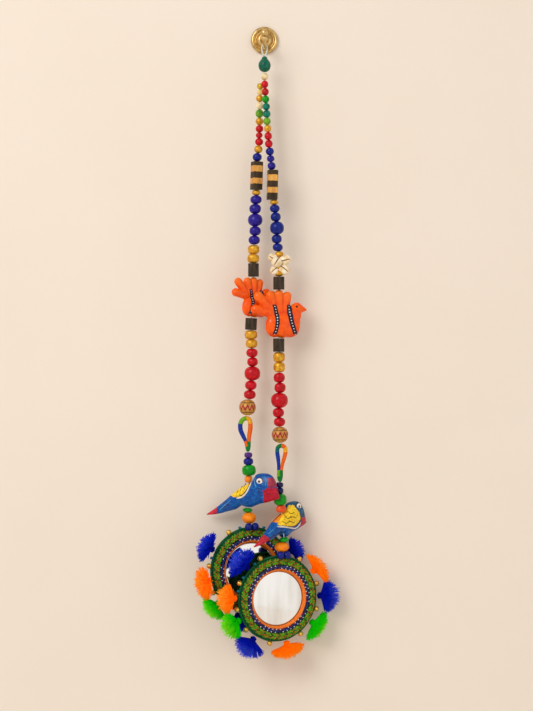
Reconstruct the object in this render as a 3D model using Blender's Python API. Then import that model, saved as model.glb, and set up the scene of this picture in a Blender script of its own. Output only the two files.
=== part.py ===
# Toran door hanging on a brass wall hook, modelled in millimetres and written in metres.
# The origin is the middle of the hook plate's back, +Y goes into the wall and +Z up.

import math

import bmesh
import bpy
from mathutils import Vector

MM = 0.001

# Round plate of the hook: radius and depth from the wall, back to front
PLATE_PROFILE = (
    (14.4, 0.0),
    (15.0, -1.0),
    (14.4, -2.7),
    (12.8, -3.7),
    (11.0, -2.9),
    (9.8, -2.0),
    (8.4, -3.6),
    (7.6, -5.6),
    (6.2, -7.0),
)

# Peg of the hook: depth, height and radius along its length, ball end last
PEG_PATH = (
    (-7.4, 0.0, 5.4),
    (-8.8, 0.0, 5.2),
    (-10.8, -1.2, 3.8),
    (-12.6, -3.2, 2.7),
    (-15.4, -7.2, 2.1),
    (-19.2, -11.0, 1.8),
    (-23.4, -12.9, 1.6),
    (-27.6, -12.8, 1.6),
    (-31.2, -10.2, 1.8),
    (-33.2, -6.0, 2.1),
    (-33.7, -2.4, 2.2),
    (-33.7, -0.8, 3.2),
    (-33.6, 1.6, 3.9),
    (-33.5, 4.0, 3.1),
    (-33.4, 5.1, 1.5),
)

# Cord loop over the peg: across and height at one fixed depth
LOOP_DEPTH = -26.4
LOOP_CORD_RADIUS = 0.8
LOOP_PATH = (
    (0.0, -9.9),
    (2.0, -10.7),
    (2.9, -12.8),
    (2.7, -16.0),
    (1.9, -19.4),
    (0.0, -21.5),
    (-1.9, -19.4),
    (-2.7, -16.0),
    (-2.9, -12.8),
    (-2.0, -10.7),
)

# Pear shaped drop bead: depth of its axis, then radius and height
DROP_CENTRE = (0.1, -26.6)
DROP_PROFILE = (
    (2.0, -22.9),
    (3.0, -24.4),
    (4.0, -26.0),
    (5.9, -28.6),
    (6.7, -32.0),
    (6.2, -35.4),
    (4.3, -38.0),
    (2.2, -39.2),
)
# Where the left strand's thread leaves the cream bead, and the thread's radius
LEFT_THREAD = (-1.3, -25.6, -49.0)
THREAD_RADIUS = 0.5
CREAM_ROW = ((0.2, -26.8, -44.5, 7.8),)
CREAM_ENDS = (-39.6, -48.4)

# Runs of beads: across, depth, height of each bead's centre and its diameter
LEFT_SMALL = (
    (-4.3, -23.1, -54.5, 7.9),
    (-4.3, -23.1, -60.4, 7.8),
    (-5.2, -23.2, -67.1, 8.0),
    (-5.0, -23.3, -75.3, 8.0),
    (-5.4, -23.4, -83.7, 8.7),
    (-5.4, -23.5, -92.8, 8.2),
    (-5.4, -23.6, -100.6, 8.5),
    (-5.7, -23.7, -107.6, 7.4),
    (-5.8, -23.8, -114.4, 8.9),
    (-6.6, -23.9, -122.8, 9.1),
    (-7.9, -24.0, -131.2, 10.1),
)
LEFT_SMALL_ENDS = (-50.8, -135.8)
LEFT_VIOLET = (
    (-8.9, -24.0, -169.3, 9.3),
    (-9.2, -24.0, -177.1, 12.5),
    (-10.1, -24.0, -187.1, 12.8),
    (-10.1, -24.0, -199.4, 15.9),
    (-10.1, -24.0, -211.5, 12.5),
    (-11.1, -24.0, -221.0, 12.5),
)
LEFT_VIOLET_ENDS = (-166.9, -226.0)
LEFT_GOLD_UPPER = (
    (-11.8, -24.0, -231.5, 12.6),
    (-12.2, -24.0, -241.3, 12.9),
)
LEFT_GOLD_UPPER_ENDS = (-226.5, -246.0)
LEFT_GOLD_LOWER = (
    (-14.7, -24.6, -323.8, 13.6),
    (-14.0, -24.9, -333.3, 12.7),
)
LEFT_GOLD_LOWER_ENDS = (-319.0, -338.1)
LEFT_RED = (
    (-13.5, -25.2, -343.4, 12.6),
    (-12.9, -25.4, -352.9, 11.8),
    (-13.1, -25.7, -365.9, 17.3),
    (-14.8, -26.1, -378.9, 12.6),
    (-15.9, -26.3, -388.6, 13.0),
)
LEFT_RED_ENDS = (-338.5, -393.5)
LEFT_PAINTED = (
    (-18.3, -26.8, -402.5, 18.0),
)
LEFT_PAINTED_ENDS = (-393.9, -411.0)
LEFT_NECK = (
    (-17.5, -28.8, -454.1, 8.7),
    (-17.4, -29.1, -460.8, 10.6),
    (-16.8, -29.7, -470.1, 14.9),
    (-17.2, -30.3, -479.7, 8.6),
)
LEFT_NECK_ENDS = (-450.9, -483.4)
LEFT_ORANGE = (
    (-18.4, -31.0, -512.0, 10.4),
    (-16.6, -31.0, -520.6, 15.2),
)
LEFT_ORANGE_ENDS = (-510.9, -527.8)
RIGHT_SMALL = (
    (0.3, -30.0, -53.2, 7.6),
    (0.9, -30.0, -61.6, 7.6),
    (1.2, -30.0, -69.5, 7.9),
    (2.0, -30.0, -77.4, 7.8),
    (2.4, -30.0, -85.2, 8.4),
    (2.7, -30.0, -93.2, 8.1),
    (3.5, -30.0, -100.9, 7.8),
    (4.0, -30.0, -109.1, 8.1),
    (4.7, -30.0, -117.8, 8.3),
    (5.8, -30.0, -126.0, 9.0),
    (6.7, -30.0, -133.5, 8.2),
    (7.7, -30.0, -141.3, 8.9),
)
RIGHT_SMALL_ENDS = (-49.2, -145.6)
RIGHT_BLUE = (
    (10.4, -30.0, -180.1, 9.1),
    (11.1, -30.0, -187.1, 10.8),
    (12.1, -30.0, -196.4, 11.0),
    (13.5, -30.0, -208.5, 15.2),
    (13.2, -30.0, -220.5, 11.1),
    (14.3, -30.0, -229.9, 11.0),
    (16.0, -30.0, -237.1, 9.1),
)
RIGHT_BLUE_ENDS = (-178.2, -239.8)
SHELL_COLUMN = (
    (15.3, -30.0, -244.2, 5.4),
    (15.1, -30.0, -251.3, 6.9),
    (15.7, -30.1, -258.2, 10.6),
)
SHELL_COLUMN_ENDS = (-240.2, -260.7)
RIGHT_GOLD_LOWER = (
    (15.7, -30.7, -347.9, 13.0),
    (15.9, -31.0, -358.9, 12.6),
)
RIGHT_GOLD_LOWER_ENDS = (-342.6, -364.3)
RIGHT_RED = (
    (15.9, -31.3, -370.3, 12.4),
    (16.8, -31.5, -381.0, 12.4),
    (16.2, -31.9, -394.9, 18.3),
    (15.0, -32.2, -408.2, 12.4),
    (16.2, -32.5, -418.1, 12.5),
)
RIGHT_RED_ENDS = (-364.8, -422.8)
RIGHT_PAINTED = (
    (16.8, -32.9, -431.8, 17.8),
)
RIGHT_PAINTED_ENDS = (-423.2, -440.4)
RIGHT_NECK = (
    (16.4, -34.9, -485.8, 7.8),
    (16.5, -35.1, -491.7, 8.0),
    (17.0, -35.5, -501.9, 13.9),
    (17.8, -36.1, -511.8, 10.8),
)
RIGHT_NECK_ENDS = (-482.8, -515.4)
RIGHT_ORANGE = (
    (21.2, -38.0, -544.1, 10.3),
    (18.5, -38.2, -551.5, 15.5),
)
RIGHT_ORANGE_ENDS = (-541.7, -557.4)

# Blocks and six-sided beads: across, depth, height of the centre, width over the corners or sides, height
LEFT_BOX = (-8.5, -24.0, -151.4, 10.5, 30.4)
RIGHT_BOX = (8.6, -30.0, -162.0, 10.9, 31.8)
LEFT_HEX_UPPER = (-11.9, -24.1, -253.6, 13.4, 14.4)
LEFT_HEX_LOWER = (-14.5, -24.5, -312.2, 14.3, 12.7)
RIGHT_HEX_UPPER = (15.5, -30.1, -268.1, 13.8, 13.9)
RIGHT_HEX_LOWER = (15.4, -30.5, -335.1, 14.0, 14.4)

# Cowrie shells round the right strand: centre, direction of the long axis, length and width
SHELLS = (
    (8.6, -31.5, -240.6, -0.8, -0.2, 0.5, 10.4, 6.5),
    (12.9, -34.6, -246.0, -0.5, -0.3, -0.8, 10.3, 8.0),
    (22.4, -31.0, -243.1, 0.9, -0.2, 0.2, 13.2, 7.3),
    (21.3, -31.6, -253.7, 0.8, -0.2, -0.6, 12.1, 7.3),
    (10.3, -32.0, -254.9, -0.7, -0.3, -0.6, 9.3, 6.5),
)

# Orange bird: its outline across and up, measured from the thread at mid height
BIRD_RIGHT = (15.4, -30.3, -302.5)
BIRD_LEFT = (-12.7, -24.3, -284.0)
BIRD_OUTLINE = (
    (-17.6, -4.0), (-22.4, 0.5), (-27.1, 1.1), (-30.8, 6.1), (-26.9, 10.3), (-21.9, 10.4),
    (-25.6, 16.5), (-26.9, 21.6), (-23.4, 24.1), (-18.0, 20.9), (-13.1, 15.6), (-13.3, 22.6),
    (-9.3, 26.2), (-5.7, 24.1), (-4.3, 19.2), (-3.4, 25.2), (0.1, 27.1), (4.0, 25.4),
    (5.1, 20.0), (6.3, 24.3), (9.6, 25.3), (12.7, 21.7), (13.2, 13.7), (18.2, 14.8),
    (21.9, 13.2), (25.9, 9.0), (31.0, 5.6), (27.1, 2.5), (25.3, -3.1), (23.5, -11.3),
    (20.3, -18.8), (15.1, -23.5), (9.8, -25.1), (0.9, -25.0), (-8.8, -23.6), (-13.4, -19.0),
    (-15.9, -13.2), (-16.4, -6.9),
)
# Rings of the bird's body: half thickness and share of the outline
BIRD_RINGS = (
    (6.0, 0.70),
    (4.7, 0.93),
    (2.0, 1.0),
    (-2.0, 1.0),
    (-4.7, 0.93),
    (-6.0, 0.70),
)

# Parrot: sections from the tail to the beak, as top point, bottom point and half width
PARROT_LEFT = (-17.1, -30.5, -482.7)
PARROT_RIGHT = (18.1, -36.2, -515.1)
PARROT_SECTIONS = (
    (-51.1, -37.0, -50.2, -38.1, 1.0),
    (-39.4, -29.4, -37.4, -36.4, 2.6),
    (-28.1, -21.0, -25.7, -33.2, 4.0),
    (-20.0, -14.2, -15.7, -30.4, 5.6),
    (-12.9, -8.9, -8.6, -26.1, 7.0),
    (-6.5, -5.2, -2.9, -27.1, 7.8),
    (0.0, -1.9, 3.4, -27.3, 8.2),
    (5.2, 0.4, 9.2, -25.0, 8.0),
    (9.9, 8.1, 14.9, -22.9, 7.6),
    (18.9, 9.7, 21.5, -21.6, 7.2),
    (26.5, 8.1, 28.1, -19.5, 6.0),
    (31.2, 2.4, 33.5, -18.0, 4.2),
    (33.1, -6.5, 37.1, -16.4, 2.2),
)

# Thread wrapped loops: across, depth, height and thickness radius round the loop
LEFT_LOOP = (
    (-19.6, -27.3, -414.2, 2.5),
    (-23.7, -27.3, -416.0, 2.6),
    (-26.0, -27.5, -420.4, 2.6),
    (-25.8, -27.8, -426.9, 2.6),
    (-23.9, -28.0, -433.0, 2.4),
    (-21.5, -28.2, -438.8, 1.8),
    (-19.8, -28.4, -444.6, 1.5),
    (-17.9, -28.6, -448.7, 1.5),
    (-16.1, -28.4, -445.0, 1.5),
    (-16.3, -28.2, -439.2, 1.8),
    (-16.3, -28.0, -432.7, 2.4),
    (-15.4, -27.7, -426.0, 2.6),
    (-15.3, -27.5, -420.0, 2.6),
    (-16.5, -27.3, -415.7, 2.6),
)
RIGHT_LOOP = (
    (18.3, -33.2, -443.5, 2.4),
    (14.5, -33.3, -445.6, 2.3),
    (13.8, -33.5, -450.4, 2.3),
    (14.6, -33.7, -456.4, 2.3),
    (15.2, -34.0, -462.4, 2.0),
    (15.0, -34.2, -469.7, 1.7),
    (14.8, -34.5, -476.8, 1.6),
    (16.7, -34.7, -480.7, 1.5),
    (18.7, -34.5, -476.8, 1.6),
    (18.8, -34.2, -469.7, 1.7),
    (19.7, -34.0, -462.4, 2.0),
    (21.4, -33.7, -456.4, 2.3),
    (22.7, -33.5, -450.4, 2.3),
    (22.0, -33.3, -445.6, 2.3),
)

# Mirrors: centre of each, then radius and offset toward the viewer of the round frame
MIRROR_LEFT = (-15.6, -31.0, -577.5)
MIRROR_RIGHT = (14.0, -38.5, -607.4)
MIRROR_TURN = 24.0
FRAME_PROFILE = (
    (42.6, -4.0),
    (43.8, -2.0),
    (43.8, 2.0),
    (42.4, 4.2),
    (40.2, 4.9),
    (38.4, 4.4),
    (37.4, 2.6),
    (37.2, -1.4),
)
GLASS_PROFILE = (
    (29.2, -1.1),
    (29.2, 0.6),
    (28.4, 0.9),
)
ROPE_CENTRE = 33.3
ROPE_OFFSET = 1.7
ROPE_HALF_WIDTH = 3.5
ROPE_HALF_HEIGHT = 2.7

# Edging cord with its gold bells: radius of the cord ring, cord radius, bell ring and bell radius
EDGE_RING = 45.5
EDGE_CORD = 1.3
BELL_RING = 48.3
BELL_RADIUS = 2.7
BELL_HALF_ANGLE = 3.3
BELLS_LEFT = (38.5, 119.0, 171.5, 209.5, 240.0, 274.0, 312.5, 357.0)
BELLS_RIGHT = (17.5, 60.0, 113.0, 155.0, 191.5, 222.5, 259.5, 302.0, 341.5)

# Tassels: angle on the photo, reach of the tips from the mirror's centre, half spread of the locks
# across and through, and the lean toward the wall, which is less than nothing toward the room
TASSEL_ROOT = 47.3
TASSEL_HEAD_WIDTH = 3.8
TASSEL_HEAD_DEPTH = 2.9
TASSEL_NECK = 6.6
TASSELS_LEFT = (
    ("blue_left", 149.0, 66.0, 14.0, 6.0, 0.0),
    ("orange_left", 192.0, 66.0, 15.0, 6.0, -16.0),
    ("green_left", 225.0, 67.0, 13.0, 6.0, 0.0),
    ("blue_low", 255.0, 69.0, 13.0, 5.0, 0.0),
    ("orange_low", 293.0, 69.0, 13.0, 5.0, -4.0),
    ("green_right", 332.0, 66.0, 12.0, 4.0, -14.0),
    ("blue_right", 22.0, 66.0, 12.0, 4.0, -14.0),
    ("orange_high", 55.0, 62.0, 8.0, 4.0, 2.0),
)
TASSELS_RIGHT = (
    ("orange_right", 35.0, 65.0, 16.0, 6.0, -6.0),
    ("blue_right", 0.0, 71.0, 15.0, 6.0, -8.0),
    ("green_right", 323.0, 65.0, 15.0, 6.0, -4.0),
    ("orange_low", 281.5, 66.0, 16.0, 6.0, 0.0),
    ("blue_low", 238.0, 71.0, 15.0, 6.0, 0.0),
    ("green_left", 207.0, 70.0, 13.0, 6.0, 0.0),
    ("orange_left", 176.0, 70.0, 13.0, 6.0, 0.0),
    ("blue_left", 133.0, 71.0, 15.0, 6.0, 0.0),
)

# Two blue beads side by side on one thread: place along it and radius, then its level and offset
PAIR_PROFILE = (
    (-10.6, 1.6),
    (-9.4, 3.7),
    (-6.0, 4.6),
    (-2.6, 3.7),
    (-1.4, 1.2),
    (0.9, 1.2),
    (2.0, 3.4),
    (5.2, 4.3),
    (8.4, 3.4),
    (9.5, 1.5),
)
PAIR_LEVEL = 46.9
PAIR_OFFSET = 6.3
PAIR_SHIFT_LEFT = -0.5
PAIR_SHIFT_RIGHT = 4.6

COLOURS = {
    "brass": (0.55, 0.32, 0.08),
    "cord": (0.75, 0.78, 0.72),
    "teal": (0.0, 0.12, 0.08),
    "cream": (0.85, 0.72, 0.45),
    "red": (0.5, 0.01, 0.02),
    "gold": (0.65, 0.38, 0.06),
    "violet": (0.06, 0.01, 0.28),
    "blue": (0.01, 0.03, 0.35),
    "dark": (0.03, 0.02, 0.01),
    "tan": (0.5, 0.25, 0.06),
    "orange": (1.0, 0.12, 0.0),
    "amber": (0.9, 0.3, 0.01),
    "ochre": (0.4, 0.16, 0.03),
    "green": (0.02, 0.35, 0.01),
    "glass": (0.8, 0.8, 0.78),
    "shell": (0.8, 0.7, 0.5),
}
ROUGHNESS = {"brass": 0.25, "glass": 0.05, "gold": 0.35, "cord": 0.9}


for found in list(bpy.data.objects):
    bpy.data.objects.remove(found, do_unlink=True)


def finish(name, colour, shell, smooth=True):
    """Writes a closed shell in millimetres as one named object with its own material."""
    bmesh.ops.recalc_face_normals(shell, faces=shell.faces)
    for corner in shell.verts:
        corner.co = corner.co * MM
    mesh = bpy.data.meshes.new(name)
    shell.to_mesh(mesh)
    shell.free()
    piece = bpy.data.objects.new(name, mesh)
    bpy.context.collection.objects.link(piece)
    coat = bpy.data.materials.new(name)
    coat.use_nodes = True
    surface = coat.node_tree.nodes["Principled BSDF"]
    surface.inputs["Base Color"].default_value = (*COLOURS[colour], 1.0)
    surface.inputs["Roughness"].default_value = ROUGHNESS.get(colour, 0.45)
    surface.inputs["Metallic"].default_value = 1.0 if colour == "brass" else 0.0
    mesh.materials.append(coat)
    for face in mesh.polygons:
        face.use_smooth = smooth
    return piece


def skin(shell, rings, closed=False, capped=True):
    """Joins equal rings of corners one after another, and caps the two ends."""
    corners = [[shell.verts.new(Vector(p)) for p in ring] for ring in rings]
    pairs = list(zip(corners, corners[1:]))
    if closed:
        pairs.append((corners[-1], corners[0]))
    for upper, lower in pairs:
        count = len(upper)
        for i in range(count):
            j = (i + 1) % count
            shell.faces.new((upper[i], upper[j], lower[j], lower[i]))
    if capped and not closed:
        shell.faces.new(corners[0])
        shell.faces.new(list(reversed(corners[-1])))
    return corners


def level_ring(x, y, z, radius, sides):
    """A level ring of corners round an upright axis."""
    turns = [2.0 * math.pi * (i + 0.5) / sides for i in range(sides)]
    return [(x + radius * math.cos(t), y + radius * math.sin(t), z) for t in turns]


def bead_rings(row, ends, sides, waist, tip, thread):
    """Rings down a run of touching beads, narrowed to a waist between each pair."""
    marks = [(*thread, THREAD_RADIUS)] if thread else []
    if thread:
        marks.append((row[0][0], row[0][1], ends[0] + THREAD_RADIUS, THREAD_RADIUS))
    edges = [ends[0]]
    for upper, lower in zip(row, row[1:]):
        share = upper[3] / (upper[3] + lower[3])
        edges.append(upper[2] + (lower[2] - upper[2]) * share)
    edges.append(ends[1])
    for index, (x, y, z, across) in enumerate(row):
        top = edges[index]
        bottom = edges[index + 1]
        radius = across / 2.0
        if index == 0:
            marks.append((x, y, top, radius * tip))
        marks.append((x, y, z + (top - z) * 0.6, radius * 0.87))
        marks.append((x, y, z, radius))
        marks.append((x, y, z + (bottom - z) * 0.6, radius * 0.87))
        if index + 1 < len(row):
            after = row[index + 1]
            middle = ((x + after[0]) / 2.0, (y + after[1]) / 2.0)
            marks.append((*middle, bottom, min(radius, after[3] / 2.0) * waist))
        else:
            marks.append((x, y, bottom, radius * tip))
    return [level_ring(*mark, sides) for mark in marks]


def beads(name, colour, row, ends, sides=10, waist=0.64, tip=0.5, thread=None):
    shell = bmesh.new()
    skin(shell, bead_rings(row, ends, sides, waist, tip, thread))
    return finish(name, colour, shell)


def prism(name, colour, row, sides, turn, lean, edge):
    """An upright many-sided bead with its ends taken off a little."""
    x, y, z, across, tall = row
    radius = across / 2.0
    if sides == 4:
        radius = across / math.sqrt(2.0)
    half = tall / 2.0
    inner = 1.0 - edge / radius
    levels = ((half, inner), (half - edge, 1.0), (edge - half, 1.0), (-half, inner))
    rings = []
    for rise, share in levels:
        shift = math.tan(math.radians(lean)) * rise
        ring = []
        for i in range(sides):
            t = math.radians(turn) + 2.0 * math.pi * i / sides
            out = radius * share
            ring.append((x + shift + out * math.cos(t), y + out * math.sin(t), z + rise))
        rings.append(ring)
    shell = bmesh.new()
    skin(shell, rings)
    return finish(name, colour, shell, smooth=False)


def tube(points, radii, steady, sides, closed):
    """Rings round a bent path, kept square to one steady direction."""
    rings = []
    count = len(points)
    for i, (point, radius) in enumerate(zip(points, radii)):
        if closed:
            along = points[(i + 1) % count] - points[i - 1]
        else:
            along = points[min(i + 1, count - 1)] - points[max(i - 1, 0)]
        along.normalize()
        side = along.cross(steady).normalized()
        ring = []
        for k in range(sides):
            t = 2.0 * math.pi * (k + 0.5) / sides
            ring.append(point + side * (radius * math.cos(t)) + steady * (radius * math.sin(t)))
        rings.append(ring)
    return rings


# Wall hook: turned plate, and the peg that the loop hangs on
shell = bmesh.new()
plate_rings = []
for radius, depth in PLATE_PROFILE:
    plate_rings.append([(x, depth, z) for x, z, _ in level_ring(0.0, 0.0, 0.0, radius, 20)])
skin(shell, plate_rings)
finish("wall_plate", "brass", shell)

shell = bmesh.new()
peg_points = [Vector((0.0, depth, height)) for depth, height, _ in PEG_PATH]
peg_radii = [radius for _, _, radius in PEG_PATH]
skin(shell, tube(peg_points, peg_radii, Vector((1.0, 0.0, 0.0)), 10, False))
finish("wall_hook", "brass", shell)

# Hanging loop, drop bead and cream bead
shell = bmesh.new()
loop_points = [Vector((across, LOOP_DEPTH, height)) for across, height in LOOP_PATH]
loop_radii = [LOOP_CORD_RADIUS] * len(LOOP_PATH)
skin(shell, tube(loop_points, loop_radii, Vector((0.0, 1.0, 0.0)), 6, True), closed=True)
finish("hanging_loop", "cord", shell)

shell = bmesh.new()
drop_rings = [level_ring(*DROP_CENTRE, height, radius, 10) for radius, height in DROP_PROFILE]
skin(shell, drop_rings)
finish("drop_bead", "teal", shell)
beads("cream_bead", "cream", CREAM_ROW, CREAM_ENDS)

# Left strand, top to bottom
beads("left_small_beads", "gold", LEFT_SMALL, LEFT_SMALL_ENDS, sides=8, thread=LEFT_THREAD)
prism("left_box_bead", "tan", LEFT_BOX, 4, 70.0, 1.7, 0.5)
beads("left_violet_beads", "violet", LEFT_VIOLET, LEFT_VIOLET_ENDS)
beads("left_gold_upper", "gold", LEFT_GOLD_UPPER, LEFT_GOLD_UPPER_ENDS)
prism("left_hex_upper", "dark", LEFT_HEX_UPPER, 6, 30.0, 0.0, 0.7)
prism("left_hex_lower", "dark", LEFT_HEX_LOWER, 6, 28.0, 2.5, 0.7)
beads("left_gold_lower", "gold", LEFT_GOLD_LOWER, LEFT_GOLD_LOWER_ENDS)
beads("left_red_beads", "red", LEFT_RED, LEFT_RED_ENDS)
beads("left_painted_bead", "ochre", LEFT_PAINTED, LEFT_PAINTED_ENDS, sides=14)
beads("left_neck_beads", "green", LEFT_NECK, LEFT_NECK_ENDS)
beads("left_orange_bead", "amber", LEFT_ORANGE, LEFT_ORANGE_ENDS)

# Right strand, top to bottom
beads("right_small_beads", "red", RIGHT_SMALL, RIGHT_SMALL_ENDS, sides=8)
prism("right_box_bead", "tan", RIGHT_BOX, 4, 52.5, 1.5, 0.5)
beads("right_blue_beads", "blue", RIGHT_BLUE, RIGHT_BLUE_ENDS)
prism("right_hex_upper", "dark", RIGHT_HEX_UPPER, 6, 30.0, 0.0, 0.7)
prism("right_hex_lower", "dark", RIGHT_HEX_LOWER, 6, 30.0, 0.0, 0.7)
beads("right_gold_lower", "gold", RIGHT_GOLD_LOWER, RIGHT_GOLD_LOWER_ENDS)
beads("right_red_beads", "red", RIGHT_RED, RIGHT_RED_ENDS)
beads("right_painted_bead", "ochre", RIGHT_PAINTED, RIGHT_PAINTED_ENDS, sides=14)
beads("right_neck_beads", "green", RIGHT_NECK, RIGHT_NECK_ENDS)
beads("right_orange_bead", "amber", RIGHT_ORANGE, RIGHT_ORANGE_ENDS)


# Cowrie shells tied round a short column of gold beads
column = beads("right_cowries", "shell", SHELL_COLUMN, SHELL_COLUMN_ENDS, sides=10, waist=0.9)
cutters = []
for number, (x, y, z, lx, ly, lz, length, width) in enumerate(SHELLS):
    along = Vector((lx, ly, lz)).normalized()
    side = along.cross(Vector((0.0, 1.0, 0.0))).normalized()
    up = side.cross(along)
    rings = []
    for share, girth in ((-0.5, 0.25), (-0.34, 0.7), (-0.08, 1.0), (0.2, 0.88), (0.4, 0.55), (0.5, 0.22)):
        middle = Vector((x, y, z)) + along * (length * share)
        ring = []
        for k in range(10):
            t = 2.0 * math.pi * k / 10
            reach = side * (width / 2.0 * girth * math.cos(t)) + up * (width / 2.3 * girth * math.sin(t))
            ring.append(middle + reach)
        rings.append(ring)
    shell = bmesh.new()
    skin(shell, rings)
    cutters.append(finish(f"cowrie_{number}", "shell", shell))
for cutter in cutters:
    cutter.hide_render = True
    cutter.display_type = "WIRE"
    bond = column.modifiers.new(cutter.name, "BOOLEAN")
    bond.operation = "UNION"
    bond.solver = "EXACT"
    bond.object = cutter


def bird(name, place, yaw, roll, grade):
    """A carved bird with five rounded tail feathers, full at the middle and thin at its rim."""
    x, y, z = place
    across = Vector((math.cos(math.radians(yaw)), -math.sin(math.radians(yaw)), 0.0))
    through = Vector((math.sin(math.radians(yaw)), math.cos(math.radians(yaw)), 0.0))
    cos_roll = math.cos(math.radians(roll))
    sin_roll = math.sin(math.radians(roll))
    rings = []
    for depth, share in BIRD_RINGS:
        ring = []
        for u, v in BIRD_OUTLINE:
            a = u * share * grade
            b = (v * share - (1.0 - share) * 3.0) * grade
            level = a * cos_roll - b * sin_roll
            rise = a * sin_roll + b * cos_roll
            ring.append(Vector((x, y, z)) + across * level + through * depth + Vector((0.0, 0.0, rise)))
        rings.append(ring)
    shell = bmesh.new()
    skin(shell, rings)
    return finish(name, "orange", shell)


bird("left_bird", BIRD_LEFT, -29.0, -3.0, 0.835)
bird("right_bird", BIRD_RIGHT, -13.0, 0.0, 1.0)


def parrot(name, place, yaw, pitch, tail_share):
    """A carved parrot, skinned from its tail to its beak."""
    x, y, z = place
    across = Vector((math.cos(math.radians(yaw)), -math.sin(math.radians(yaw)), 0.0))
    through = Vector((math.sin(math.radians(yaw)), math.cos(math.radians(yaw)), 0.0))
    cos_pitch = math.cos(math.radians(pitch))
    sin_pitch = math.sin(math.radians(pitch))
    rings = []
    for top_u, top_v, low_u, low_v, half in PARROT_SECTIONS:
        ring = []
        for k in range(12):
            t = 2.0 * math.pi * k / 12
            lift = (1.0 + math.cos(t)) / 2.0
            u = low_u + (top_u - low_u) * lift
            v = low_v + (top_v - low_v) * lift
            if u < 0.0:
                u *= tail_share
                v *= tail_share
            level = u * cos_pitch - v * sin_pitch
            rise = u * sin_pitch + v * cos_pitch
            ring.append(
                Vector((x, y, z)) + across * level + through * (half * math.sin(t)) + Vector((0.0, 0.0, rise))
            )
        rings.append(ring)
    shell = bmesh.new()
    skin(shell, rings)
    return finish(name, "blue", shell)


parrot("left_parrot", PARROT_LEFT, 26.0, 0.0, 1.0)
parrot("right_parrot", PARROT_RIGHT, -45.0, 3.0, 0.84)

# Loops of wrapped thread
for name, rows in (("left_cord_loop", LEFT_LOOP), ("right_cord_loop", RIGHT_LOOP)):
    shell = bmesh.new()
    path = [Vector((x, y, z)) for x, y, z, _ in rows]
    radii = [radius for _, _, _, radius in rows]
    skin(shell, tube(path, radii, Vector((0.0, 1.0, 0.0)), 8, True), closed=True)
    finish(name, "amber", shell)


class Round:
    """The plane of one mirror: across, up and toward the viewer from its centre."""

    def __init__(self, centre):
        turn = math.radians(MIRROR_TURN)
        self.centre = Vector(centre)
        self.across = Vector((math.cos(turn), math.sin(turn), 0.0))
        self.up = Vector((0.0, 0.0, 1.0))
        self.front = Vector((math.sin(turn), -math.cos(turn), 0.0))

    def point(self, u, v, w):
        return self.centre + self.across * u + self.up * v + self.front * w

    def ring(self, radius, offset, sides):
        turns = [2.0 * math.pi * i / sides for i in range(sides)]
        return [self.point(radius * math.cos(t), radius * math.sin(t), offset) for t in turns]

    def true_angle(self, seen):
        """The angle on the round for an angle seen on the photo."""
        t = math.radians(seen)
        return math.atan2(math.sin(t) * math.cos(math.radians(MIRROR_TURN)), math.cos(t))


def frame(name, place):
    shell = bmesh.new()
    skin(shell, [place.ring(radius, offset, 28) for radius, offset in FRAME_PROFILE])
    return finish(name, "green", shell)


def glass(name, place):
    shell = bmesh.new()
    skin(shell, [place.ring(radius, offset, 24) for radius, offset in GLASS_PROFILE])
    return finish(name, "glass", shell)


def bead_rope(name, place):
    shell = bmesh.new()
    rings = []
    for k in range(6):
        t = 2.0 * math.pi * (k + 0.5) / 6
        radius = ROPE_CENTRE + ROPE_HALF_WIDTH * math.cos(t)
        rings.append(place.ring(radius, ROPE_OFFSET + ROPE_HALF_HEIGHT * math.sin(t), 28))
    skin(shell, rings, closed=True)
    return finish(name, "red", shell)


def edging(name, place, bells):
    """The cord round the rim, swelling into a bell between the tassels."""
    marks = []
    for seen in bells:
        at = place.true_angle(seen) % (2.0 * math.pi)
        width = math.radians(BELL_HALF_ANGLE)
        marks.append((at - width, EDGE_RING, EDGE_CORD))
        marks.append((at - width * 0.55, (EDGE_RING + BELL_RING) / 2.0 + 0.8, BELL_RADIUS * 0.8))
        marks.append((at, BELL_RING, BELL_RADIUS))
        marks.append((at + width * 0.55, (EDGE_RING + BELL_RING) / 2.0 + 0.8, BELL_RADIUS * 0.8))
        marks.append((at + width, EDGE_RING, EDGE_CORD))
    marks.sort()
    full = []
    for mark, after in zip(marks, marks[1:] + [(marks[0][0] + 2.0 * math.pi, *marks[0][1:])]):
        full.append(mark)
        gap = after[0] - mark[0]
        parts = math.ceil(gap / math.radians(9.0))
        for step in range(1, parts):
            full.append((mark[0] + gap * step / parts, EDGE_RING, EDGE_CORD))
    rings = []
    for t, radius, cord in full:
        outward = place.across * math.cos(t) + place.up * math.sin(t)
        middle = place.centre + outward * radius
        ring = []
        for k in range(6):
            s = 2.0 * math.pi * (k + 0.5) / 6
            ring.append(middle + outward * (cord * math.cos(s)) + place.front * (cord * math.sin(s)))
        rings.append(ring)
    shell = bmesh.new()
    skin(shell, rings, closed=True)
    return finish(name, "gold", shell)


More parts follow.
